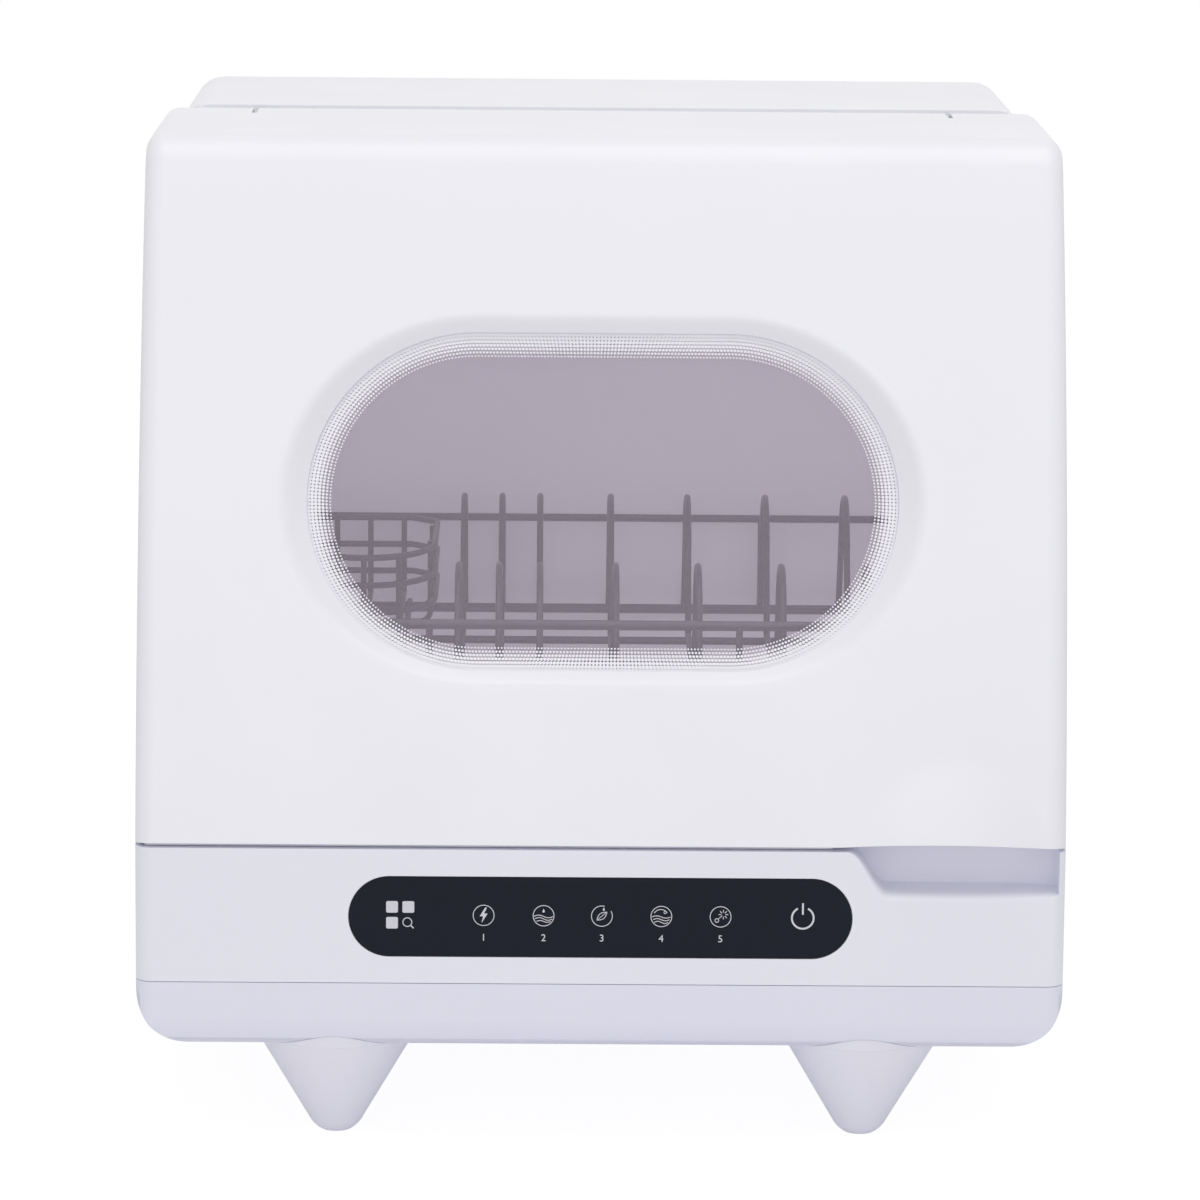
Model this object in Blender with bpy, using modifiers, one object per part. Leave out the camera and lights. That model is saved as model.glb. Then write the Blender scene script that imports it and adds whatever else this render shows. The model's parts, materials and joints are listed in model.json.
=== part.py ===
"""Countertop dishwasher with a lift-up hood door, built as separate named pieces.

Metres, +Z up. The front faces -Y and the feet stand on z = 0.
Side profiles are drawn in (y, z), front outlines in (x, z) and plans in (x, y).
"""
from math import acos, asin, cos, hypot, pi, radians, sin, sqrt, tan

import bmesh
import bpy
from mathutils import Matrix, Vector

# Fits and walls
CLEARANCE = 0.0003        # gap between pieces that touch
WALL = 0.0025             # moulded outer skins
TUB_WALL = 0.002          # tub and inner door skins
SHEET = 0.0016            # pressed steel brackets

# Levels, from the worktop up
FOOT_HEIGHT = 0.045
PAN_HEIGHT = 0.0296
HOUSING_HEIGHT = 0.0592
DOOR_GAP = 0.002
DOOR_HEIGHT = 0.296

# Plan
HALF_WIDTH = 0.2005       # door and base
DOOR_REVEAL = 0.005       # the body behind the door is this much narrower on each side
BODY_HALF_WIDTH = HALF_WIDTH - DOOR_REVEAL
FRONT = -0.2
BACK = 0.195
EDGE_RADIUS = 0.008
PAN_SIDE_RADIUS = 0.027
PAN_FRONT_RADIUS = 0.014
BODY_RADIUS = 0.014

# Door profile: a long arc leaning back, a tight bend, a flat top and a rolled rear edge
LEAN_BOTTOM = radians(8)
LEAN_TOP = radians(26)
BEND_RADIUS = 0.018
HINGE_Y = 0.016
ROLL_RADIUS = 0.017
ROLL_END = radians(-35)
CHEEK_OFFSET = 0.2         # distance of the cheek's rear edge from the origin, along the mouth's normal

# Window in the door
WINDOW_HEIGHT_ON_DOOR = 0.1495
WINDOW_HALF_LENGTH = 0.128
WINDOW_HALF_HEIGHT = 0.07375
WINDOW_BEVEL = 0.0105
WINDOW_RECESS = 0.008
WINDOW_LEDGE = 0.0025
GLASS_OVERLAP = 0.005
GLASS_THICKNESS = 0.003

# Lift handle and the finger recess below it
HANDLE_INSET = 0.0475      # from the door's side to the handle's middle
HANDLE_X = HALF_WIDTH - HANDLE_INSET
HANDLE_HALF_WIDTH = 0.035
HANDLE_PROUD = 0.005
HANDLE_SINK = 0.009
NOTCH_INSET = 0.0939       # from the door's side to the start of the recess
NOTCH_START = HALF_WIDTH - NOTCH_INSET
NOTCH_LENGTH = 0.0179
NOTCH_DEPTH = 0.0183
NOTCH_REACH = 0.024
NOTCH_END_WALL = 0.0032
NOTCH_CORNER = 0.012

# Control panel
PANEL_HALF_LENGTH = 0.1083
PANEL_HALF_HEIGHT = 0.0175
PANEL_RISE = 0.0297        # centre above the housing's lower edge
PANEL_THICKNESS = 0.0015
BOARD_THICKNESS = 0.0016

# Tub and its inclined mouth
MOUTH_TILT = radians(34)
MOUTH_OFFSET = 0.214       # distance of the sealing plane from the origin
MOUTH_LOW = 0.037          # along the slope
MOUTH_HIGH = 0.318
MOUTH_RADIUS = 0.02
TUB_SIDE_ROOM = 0.0305     # from the body's side to the wash chamber
TUB_HALF_WIDTH = BODY_HALF_WIDTH - TUB_SIDE_ROOM
TUB_BACK = 0.143
TUB_HEIGHT = 0.256
TUB_RADIUS = 0.02
FRAME_THICKNESS = 0.0025
FRAME_TOP = 0.334
SEAL_HEIGHT = 0.006
SEAL_OFFSET = 0.004
SEAL_WIDTH = 0.009

# Inner door
LINER_OFFSET = 0.015
LINER_INSET = 0.0125       # from the door's side to the liner's edge
LINER_HALF_WIDTH = HALF_WIDTH - LINER_INSET
LINER_TOP = 0.4
LINER_BOTTOM = 0.141
LINER_FLANGE = 0.002

# Hinges
HINGE_INSET = 0.007        # from the wash chamber's side to the hinge
HINGE_X = TUB_HALF_WIDTH - HINGE_INSET
HINGE_PIN_RADIUS = 0.0025
HINGE_HUB_RADIUS = 0.0075
HINGE_ARM_REACH = 0.07

# Rack
RACK_SIDE_ROOM = 0.017     # beside the rack, for the runners
RACK_HALF_WIDTH = TUB_HALF_WIDTH - RACK_SIDE_ROOM
RACK_FRONT = -0.15
RACK_BACK = 0.136
RACK_RISE = 0.0479         # floor above the wash chamber's floor
RACK_DEPTH = 0.0415        # rim above the floor
RUNNER_OVERLAP = 0.015     # the runner reaches this far under the rack
RUNNER_THICKNESS = 0.003
RUNNER_RISE = 0.008
RUNNER_FRONT = -0.112
RUNNER_BACK = 0.118
WIRE_RADIUS = 0.0015
RAIL_RADIUS = 0.00185
WELD_DEPTH = 0.0007
ARCH_RISE = 0.019          # above the rim
ARCH_SPREAD = 0.082
ARCH_CROWN = 0.0255
FOOT_TURN = 0.003
ARCH_ROWS = (-0.103, 0.09)
BASKET_SIDE_ROOM = 0.007   # from the rack's left side to the basket
BASKET_LENGTH = 0.0645
BASKET_LEFT = -RACK_HALF_WIDTH + BASKET_SIDE_ROOM
BASKET_RIGHT = BASKET_LEFT + BASKET_LENGTH
ARCH_STEPS = (0.0135, 0.0315, 0.0495, 0.083, 0.1195, 0.1565, 0.1945)  # from the basket's right side
ARCH_SIDE_ROOM = 0.015     # no arched wire stands nearer to the rack's side
ARCH_WIRES = tuple(BASKET_RIGHT + step for step in ARCH_STEPS
                   if BASKET_RIGHT + step < RACK_HALF_WIDTH - ARCH_SIDE_ROOM)
FLOOR_STEPS = (0.021, 0.051)  # flat wires under the basket, from its left side
FLOOR_WIRES = tuple(BASKET_LEFT + step for step in FLOOR_STEPS)
CROSS_WIRES = (-0.11, -0.01, 0.085)

# Cutlery basket in the rack's rear left corner
BASKET_CORNER_Y = 0.058
BASKET_BOW = 0.042
BASKET_CUT = 0.012         # cut-off rear corners, clear of the rack's rim
BASKET_RINGS = 3
BASKET_RING_PITCH = 0.013
UPRIGHT_RADIUS = 0.00135

# Spray arms
SUMP_Y = -0.02
UPPER_ARM_Y = 0.055
LOWER_ARM_RISE = 0.0239    # above the wash chamber's floor
UPPER_ARM_DROP = 0.0201    # below the wash chamber's roof
LOWER_ARM_ROOM = 0.04      # from the wash chamber's side to the last curve of the lower arm
LOWER_ARM_REACH = TUB_HALF_WIDTH - LOWER_ARM_ROOM
UPPER_ARM_REACH = 0.084
ARM_THICKNESS = 0.008
ARM_TIP_RADIUS = 0.006
ARM_ROOT_WIDTH = 0.0125
ARM_HUB_RADIUS = 0.017
ARM_HUB_LIP = 0.003
SPINDLE_RADIUS = 0.007
SPINDLE_FLANGE = 0.011
JETS_PER_SIDE = 3
JET_RADIUS = 0.0016

# Sump, filter and float
SUMP_RADIUS = 0.046
SUMP_DEPTH = 0.036
SUMP_FLANGE = 0.053
SUMP_PORT_X = 0.13         # opening in the housing's deck, half its size each way
SUMP_PORT_Y = 0.125
HOSE_PORT_HALF = 0.012     # openings in the deck for hoses, half their width
FILTER_RADIUS = 0.042
FILTER_HEIGHT = 0.03
FLOAT_X = -0.1
FLOAT_Y = 0.08

# Heating loop
HEATER_RADIUS = 0.0032
HEATER_LOOP = 0.082
HEATER_RISE = 0.012
HEATER_OPENING = radians(9)

# Pumps
PUMP_REACH = 0.103         # both pumps stand this far to the side of the sump
WASH_PUMP_RADIUS = 0.034
DRAIN_PUMP_RADIUS = 0.026
MOTOR_HEIGHT = 0.022
VOLUTE_HEIGHT = 0.018
PUMP_NECK = 0.006
PUMP_WALL = 0.002
SHAFT_RADIUS = 0.002
HOSE_RADIUS = 0.0085
PORT_RISE = 0.014          # sump ports above the sump floor

# Feet
FOOT_SIDE_INSET = 0.0855   # from the door's side to the feet
FOOT_X = HALF_WIDTH - FOOT_SIDE_INSET
FOOT_INSET = 0.0385
FOOT_TOP_RADIUS = 0.034
FOOT_TIP_RADIUS = 0.0135
FOOT_FLAT = 0.0065
FOOT_STEM_RADIUS = 0.006
FOOT_SLOPE = radians(27)

# Rear services
SPIGOT_REACH = 0.01
SPIGOT_RADIUS = 0.0095
SPIGOT_BORE = 0.0055
SPIGOT_TAIL = 0.012
SERVICE_Z = 0.175
SERVICE_INSET = 0.0455     # from the body's side to the inlet and to the cord
SERVICE_PITCH = 0.035
INLET_X = BODY_HALF_WIDTH - SERVICE_INSET
DRAIN_X = INLET_X - SERVICE_PITCH
CORD_X = -INLET_X
CORD_NECK = 0.008
TANK_SIDE_ROOM = 0.018     # from the cord's middle to the tank
TANK_LEFT = CORD_X + TANK_SIDE_ROOM
TANK_PORT_ROOM = 0.027     # from the tank to the outlet's middle
TANK_RIGHT = DRAIN_X - TANK_PORT_ROOM
TANK_TOP = 0.325
TANK_HOSE_X = -0.06
TANK_WALL = 0.002
TANK_GAP = 0.012           # room for the feed pipe between tub and tank
PIPE_RADIUS = 0.005
FILLER_X = 0.06
SPOUT_RADIUS = 0.0065
FAN_INSET = 0.0755         # from the body's side to the fan
FAN_X = FAN_INSET - BODY_HALF_WIDTH
FAN_Z = 0.36
FAN_RADIUS = 0.027
FAN_DEPTH = 0.02
FAN_EYE = 0.014

# Levels and lines that follow from the sizes above
PANEL_EDGE = MOUTH_OFFSET + 0.002
PAN_Z = FOOT_HEIGHT
SEAM_Z = PAN_Z + PAN_HEIGHT
DECK_Z = SEAM_Z + HOUSING_HEIGHT
DOOR_Z = DECK_Z + DOOR_GAP
TOP_Z = DOOR_Z + DOOR_HEIGHT
HINGE_Z = TOP_Z - ROLL_RADIUS
TUB_Z = DECK_Z + CLEARANCE
TUB_TOP = TUB_Z + TUB_HEIGHT
RACK_FLOOR = TUB_Z + RACK_RISE
RACK_RIM = RACK_FLOOR + RACK_DEPTH
ARCH_TOP = RACK_RIM + ARCH_RISE
LOWER_ARM_HEIGHT = TUB_Z + LOWER_ARM_RISE
UPPER_ARM_HEIGHT = TUB_TOP - UPPER_ARM_DROP
COVER_Z = HINGE_Z - 0.01
ROOF_LINE = COVER_Z - CLEARANCE
COVER_FRONT = HINGE_Y + ROLL_RADIUS + 0.001
DOOR_ARC = (DOOR_HEIGHT - BEND_RADIUS * (1 - sin(LEAN_TOP))) / (sin(LEAN_TOP) - sin(LEAN_BOTTOM))
ARC_Y = FRONT + DOOR_ARC * cos(LEAN_BOTTOM)
ARC_Z = DOOR_Z - DOOR_ARC * sin(LEAN_BOTTOM)
RAIL_Z = RACK_FLOOR - WIRE_RADIUS - RAIL_RADIUS + WELD_DEPTH
SUMP_TOP = DECK_Z
SUMP_FLOOR = SUMP_TOP - SUMP_DEPTH
PORT_Z = SUMP_FLOOR + PORT_RISE
PAN_FLOOR = PAN_Z + WALL
HEATER_Z = TUB_Z + HEATER_RISE
HEATER_PIN_X = HEATER_LOOP * sin(HEATER_OPENING)
HEATER_PIN_Y = SUMP_Y + HEATER_LOOP * cos(HEATER_OPENING)
RUNNER_INNER = RACK_HALF_WIDTH - RUNNER_OVERLAP
PORT_END = SUMP_RADIUS + 0.013
UPPER_PIPE_END = TUB_TOP + 0.008
MOTOR_TOP = PAN_FLOOR + CLEARANCE + MOTOR_HEIGHT
VOLUTE_Z = MOTOR_TOP + CLEARANCE
VOLUTE_TOP = VOLUTE_Z + VOLUTE_HEIGHT
TANK_FRONT = TUB_BACK + TUB_WALL + TANK_GAP
TANK_BACK = BACK - WALL - 0.002
TANK_Y = (TANK_FRONT + TANK_BACK) / 2
PIPE_Y = TUB_BACK + TUB_WALL + TANK_GAP / 2

for leftover in list(bpy.data.objects):
    bpy.data.objects.remove(leftover, do_unlink=True)

parts = bpy.data.collections.new("countertop_dishwasher")
cutters = bpy.data.collections.new("cutters")
bpy.context.scene.collection.children.link(parts)
bpy.context.scene.collection.children.link(cutters)


def material(name, colour, roughness, metallic=0.0, alpha=1.0):
    """A plain Principled material in the piece's own colour."""
    made = bpy.data.materials.new(name)
    made.use_nodes = True
    shader = made.node_tree.nodes["Principled BSDF"]
    shader.inputs["Base Color"].default_value = (*colour, 1.0)
    shader.inputs["Roughness"].default_value = roughness
    shader.inputs["Metallic"].default_value = metallic
    shader.inputs["Alpha"].default_value = alpha
    return made


WHITE_ABS = dict(colour=(0.8, 0.8, 0.86), roughness=0.35)
PALE_PP = dict(colour=(0.72, 0.72, 0.78), roughness=0.45)
GREY_PP = dict(colour=(0.35, 0.35, 0.38), roughness=0.5)
BLACK_GLOSS = dict(colour=(0.012, 0.014, 0.025), roughness=0.12)
CLEAR_GLASS = dict(colour=(0.8, 0.8, 0.85), roughness=0.03, alpha=0.4)
SOFT_RUBBER = dict(colour=(0.3, 0.3, 0.32), roughness=0.8)
STEEL = dict(colour=(0.55, 0.55, 0.57), roughness=0.3, metallic=1.0)
COATED_WIRE = dict(colour=(0.2, 0.19, 0.22), roughness=0.4)
COPPER_WINDING = dict(colour=(0.45, 0.2, 0.08), roughness=0.4, metallic=1.0)
BOARD_GREEN = dict(colour=(0.02, 0.14, 0.06), roughness=0.5)


def place(name, mesh, collection=parts, finish=None):
    """Link a mesh as an object; a cutter shows as wire and stays out of the model."""
    thing = bpy.data.objects.new(name, mesh)
    collection.objects.link(thing)
    if collection is cutters:
        thing.hide_render = True
        thing.display_type = "WIRE"
    if finish:
        thing.data.materials.append(material(name + "_finish", **finish))
    return thing


def mesh_from(bm, name):
    """Turn a bmesh into a mesh with its faces pointing out."""
    bmesh.ops.recalc_face_normals(bm, faces=bm.faces)
    mesh = bpy.data.meshes.new(name)
    bm.to_mesh(mesh)
    bm.free()
    return mesh


def box(name, low, high, collection=parts, finish=None):
    """A block between two corners."""
    bm = bmesh.new()
    bmesh.ops.create_cube(bm, size=1)
    low, high = Vector(low), Vector(high)
    size = high - low
    bmesh.ops.scale(bm, vec=size, verts=bm.verts)
    bmesh.ops.translate(bm, vec=(low + high) / 2, verts=bm.verts)
    return place(name, mesh_from(bm, name), collection, finish)


def along(axis, at, outward=1):
    """Matrix that turns +Z to a main axis and moves the origin to a point."""
    turn = {"X": Matrix.Rotation(pi / 2, 4, "Y"), "Y": Matrix.Rotation(-pi / 2, 4, "X"), "Z": Matrix()}[axis]
    flip = Matrix() if outward > 0 else Matrix.Rotation(pi, 4, "X")
    return Matrix.Translation(at) @ turn @ flip


def drum(name, radius, length, frame, collection=cutters, finish=None, sides=32):
    """A cylinder from the frame's origin along its Z axis."""
    bm = bmesh.new()
    bmesh.ops.create_cone(bm, cap_ends=True, segments=sides, radius1=radius, radius2=radius, depth=length)
    bmesh.ops.translate(bm, vec=(0, 0, length / 2), verts=bm.verts)
    bmesh.ops.transform(bm, matrix=frame, verts=bm.verts)
    return place(name, mesh_from(bm, name), collection, finish)


def curve_to_mesh(name, curve, frame=None):
    """Evaluate a curve object, weld its caps and put it in place."""
    shape = bpy.data.objects.new(name + "_curve", curve)
    cutters.objects.link(shape)
    evaluated = shape.evaluated_get(bpy.context.evaluated_depsgraph_get())
    mesh = bpy.data.meshes.new_from_object(evaluated)
    bpy.data.objects.remove(shape, do_unlink=True)
    bm = bmesh.new()
    bm.from_mesh(mesh)
    bpy.data.meshes.remove(mesh)
    bmesh.ops.remove_doubles(bm, verts=bm.verts, dist=0.000002)
    if frame is not None:
        bmesh.ops.transform(bm, matrix=frame, verts=bm.verts)
    return mesh_from(bm, name)


def extruded(name, outlines, low, high, frame, collection=parts, finish=None):
    """A flat outline, with holes if more outlines follow, extruded between two levels of its frame."""
    curve = bpy.data.curves.new(name, "CURVE")
    curve.dimensions = "2D"
    curve.fill_mode = "BOTH"
    curve.extrude = (high - low) / 2
    for outline in outlines:
        spline = curve.splines.new("POLY")
        spline.points.add(len(outline) - 1)
        for point, (u, v) in zip(spline.points, outline):
            point.co = (u, v, 0, 1)
        spline.use_cyclic_u = True
    lift = Matrix.Translation((0, 0, (low + high) / 2))
    return place(name, curve_to_mesh(name, curve, frame @ lift), collection, finish)


# Frames: the outline's first and second axes, then the direction it is extruded along
PLAN = Matrix()
SIDE = Matrix(((0, 0, 1, 0), (1, 0, 0, 0), (0, 1, 0, 0), (0, 0, 0, 1)))
FACE = Matrix(((1, 0, 0, 0), (0, 0, -1, 0), (0, 1, 0, 0), (0, 0, 0, 1)))


def sloped_frame(tilt, origin):
    """X across, Y up a plane that leans back by tilt, Z out of it to the front."""
    up = Vector((0, sin(tilt), cos(tilt)))
    out = Vector((0, -cos(tilt), sin(tilt)))
    turn = Matrix(((1, 0, 0), (0, 1, 0), (0, 0, 1))).to_4x4()
    for row in range(3):
        turn[row][0] = (1, 0, 0)[row]
        turn[row][1] = up[row]
        turn[row][2] = out[row]
    return Matrix.Translation(origin) @ turn


MOUTH = sloped_frame(MOUTH_TILT, (0, 0, 0))


def mouth_y(level, offset):
    """The y where a plane parallel to the mouth, at this offset, crosses a level."""
    return (sin(MOUTH_TILT) * level - offset) / cos(MOUTH_TILT)


def arc(centre, radius, start, end, steps):
    """Points of a circular arc, both ends included."""
    turn = (end - start) / steps
    return [(centre[0] + radius * cos(start + turn * i), centre[1] + radius * sin(start + turn * i))
            for i in range(steps + 1)]


def rounded(half_length, half_height, radius, steps=5, centre=(0, 0)):
    """A rectangle with round corners; a stadium when the radius is the half height."""
    points = []
    for quarter, (sx, sy) in enumerate(((1, 1), (-1, 1), (-1, -1), (1, -1))):
        middle = (centre[0] + sx * (half_length - radius), centre[1] + sy * (half_height - radius))
        points += arc(middle, radius, quarter * pi / 2, (quarter + 1) * pi / 2, steps)
    kept = [points[0]]
    for point in points[1:]:
        if hypot(point[0] - kept[-1][0], point[1] - kept[-1][1]) > 0.000005:
            kept.append(point)
    return kept


def span(low_x, high_x, low_y, high_y, radius, steps=4):
    """A round-cornered rectangle between two corners."""
    return rounded((high_x - low_x) / 2, (high_y - low_y) / 2, radius, steps,
                   ((low_x + high_x) / 2, (low_y + high_y) / 2))


def round_edges(thing, chosen, radius, segments=3):
    """Round the edges whose midpoint and direction pass the test."""
    bm = bmesh.new()
    bm.from_mesh(thing.data)
    edges = [edge for edge in bm.edges
             if not all(abs(face.normal.dot(edge.link_faces[0].normal)) > 0.9999 for face in edge.link_faces)
             and chosen((edge.verts[0].co + edge.verts[1].co) / 2,
                        (edge.verts[1].co - edge.verts[0].co).normalized())]
    bmesh.ops.bevel(bm, geom=edges, offset=radius, segments=segments, profile=0.5, affect="EDGES")
    bm.to_mesh(thing.data)
    bm.free()


def boolean(thing, tool, operation, solver="EXACT"):
    """Join or cut with another solid, which moves to the cutters."""
    step = thing.modifiers.new(operation.lower() + "_" + tool.name, "BOOLEAN")
    step.operation = operation
    step.solver = solver
    step.object = tool
    if tool.name in parts.objects:
        parts.objects.unlink(tool)
        cutters.objects.link(tool)
    tool.hide_render = True
    tool.display_type = "WIRE"
    return thing


def cut(thing, *tools):
    """Take the tools away from a piece."""
    for tool in tools:
        boolean(thing, tool, "DIFFERENCE")
    return thing


def join(thing, *tools):
    """Fuse the tools with a piece."""
    for tool in tools:
        boolean(thing, tool, "UNION")
    return thing


def turned(name, profile, frame, collection=parts, finish=None, steps=32):
    """Turn a profile of (radius, height) points round the frame's Z axis, outer side first from the top."""
    mesh = bpy.data.meshes.new(name)
    closed = profile[0][0] > 0.000001
    edges = [(i, i + 1) for i in range(len(profile) - 1)]
    if closed:
        edges.append((len(profile) - 1, 0))
    mesh.from_pydata([(radius, 0, height) for radius, height in profile], edges, [])
    thing = place(name, mesh, collection, finish)
    screw = thing.modifiers.new("turn", "SCREW")
    screw.steps = steps
    screw.render_steps = steps
    screw.use_merge_vertices = True
    screw.merge_threshold = 0.00001
    thing.matrix_world = frame
    return thing


def bent(points, radius, steps=3):
    """A path through the points with each inner corner turned at the radius."""
    path = [Vector(points[0])]
    for before, corner, after in zip(points, points[1:], points[2:]):
        corner = Vector(corner)
        towards, away = (Vector(before) - corner), (Vector(after) - corner)
        half = towards.angle(away) / 2
        reach = min(radius / tan(half), towards.length * 0.499, away.length * 0.499)
        towards.normalize()
        away.normalize()
        turn = pi / 2 - half
        bow = reach * tan(half)
        centre = corner + (towards + away).normalized() * (bow / sin(half))
        inward = (towards + away).normalized()
        side = (away - towards).normalized()
        for i in range(steps + 1):
            angle = -turn + 2 * turn * i / steps
            path.append(centre - inward * (bow * cos(angle)) + side * (bow * sin(angle)))
    path.append(Vector(points[-1]))
    return path


def wires(name, paths, radius, cyclic=False, resolution=2, collection=parts, finish=None):
    """Round wires along paths, as one mesh."""
    curve = bpy.data.curves.new(name, "CURVE")
    curve.dimensions = "3D"
    curve.bevel_depth = radius
    curve.bevel_resolution = resolution
    curve.use_fill_caps = True
    for path in paths:
        spline = curve.splines.new("POLY")
        spline.points.add(len(path) - 1)
        for point, co in zip(spline.points, path):
            point.co = (*co, 1)
        spline.use_cyclic_u = cyclic
    return place(name, curve_to_mesh(name, curve), collection, finish)


def loft(name, lower, upper, low, high, frame, collection=cutters):
    """Skin two outlines with equal counts of points, at two levels of the frame."""
    bm = bmesh.new()
    rings = [[bm.verts.new((u, v, level)) for u, v in outline] for outline, level in ((lower, low), (upper, high))]
    count = len(lower)
    for i in range(count):
        j = (i + 1) % count
        bm.faces.new((rings[0][i], rings[0][j], rings[1][j], rings[1][i]))
    bm.faces.new(rings[0])
    bm.faces.new(rings[1])
    bmesh.ops.transform(bm, matrix=frame, verts=bm.verts)
    return place(name, mesh_from(bm, name), collection)


def pivot(names, point, label):
    """Hang moving pieces from an empty on their joint's axis."""
    joint = bpy.data.objects.new(label, None)
    parts.objects.link(joint)
    joint.location = point
    for name in names:
        thing = bpy.data.objects[name]
        thing.parent = joint
        thing.matrix_parent_inverse = Matrix.Translation(-Vector(point))


def door_path(inset, start_level, roll_steps=6, arc_steps=10):
    """The door's side profile from its lower edge over the top to the end of the roll, moved inwards."""
    first = asin((start_level - ARC_Z) / (DOOR_ARC - inset))
    path = []
    for i in range(arc_steps + 1):
        lean = first + (LEAN_TOP - first) * i / arc_steps
        path.append((ARC_Y - (DOOR_ARC - inset) * cos(lean), ARC_Z + (DOOR_ARC - inset) * sin(lean)))
    bend_y = ARC_Y - (DOOR_ARC - BEND_RADIUS) * cos(LEAN_TOP)
    bend_z = ARC_Z + (DOOR_ARC - BEND_RADIUS) * sin(LEAN_TOP)
    path += arc((bend_y, bend_z), BEND_RADIUS - inset, pi - LEAN_TOP, pi / 2, 5)[1:]
    path += arc((HINGE_Y, HINGE_Z), ROLL_RADIUS - inset, pi / 2, ROLL_END, roll_steps)
    return path


def skin_point(distance):
    """A point on the door's outer face, its distance up the face from the lower edge, and the lean there."""
    lean = LEAN_BOTTOM + distance / DOOR_ARC
    return (0, ARC_Y - DOOR_ARC * cos(lean), ARC_Z + DOOR_ARC * sin(lean)), lean


window_centre, window_lean = skin_point(WINDOW_HEIGHT_ON_DOOR)
WINDOW = sloped_frame(window_lean, window_centre)


def stadium(grow):
    """The window's outline, made larger or smaller all round."""
    half = WINDOW_HALF_HEIGHT + grow
    return rounded(WINDOW_HALF_LENGTH + grow, half, half, 8)


def on_side_edges(half_width, low_level, offset):
    """Test for the long edges of a hood: on its sides, in front of the cheek line and above a level."""
    def chosen(middle, direction):
        ahead = -cos(MOUTH_TILT) * middle.y + sin(MOUTH_TILT) * middle.z
        return abs(abs(middle.x) - half_width) < 0.00001 and ahead > offset and middle.z > low_level
    return chosen


def hood(name, path, tail, half_width, radius, low_level, offset, collection):
    """A hood-shaped solid: a profile carried across the width, with its front and top side edges rounded."""
    solid = extruded(name, [path + tail], -half_width, half_width, SIDE, collection)
    round_edges(solid, on_side_edges(half_width, low_level, offset), radius, 3)
    return solid


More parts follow.
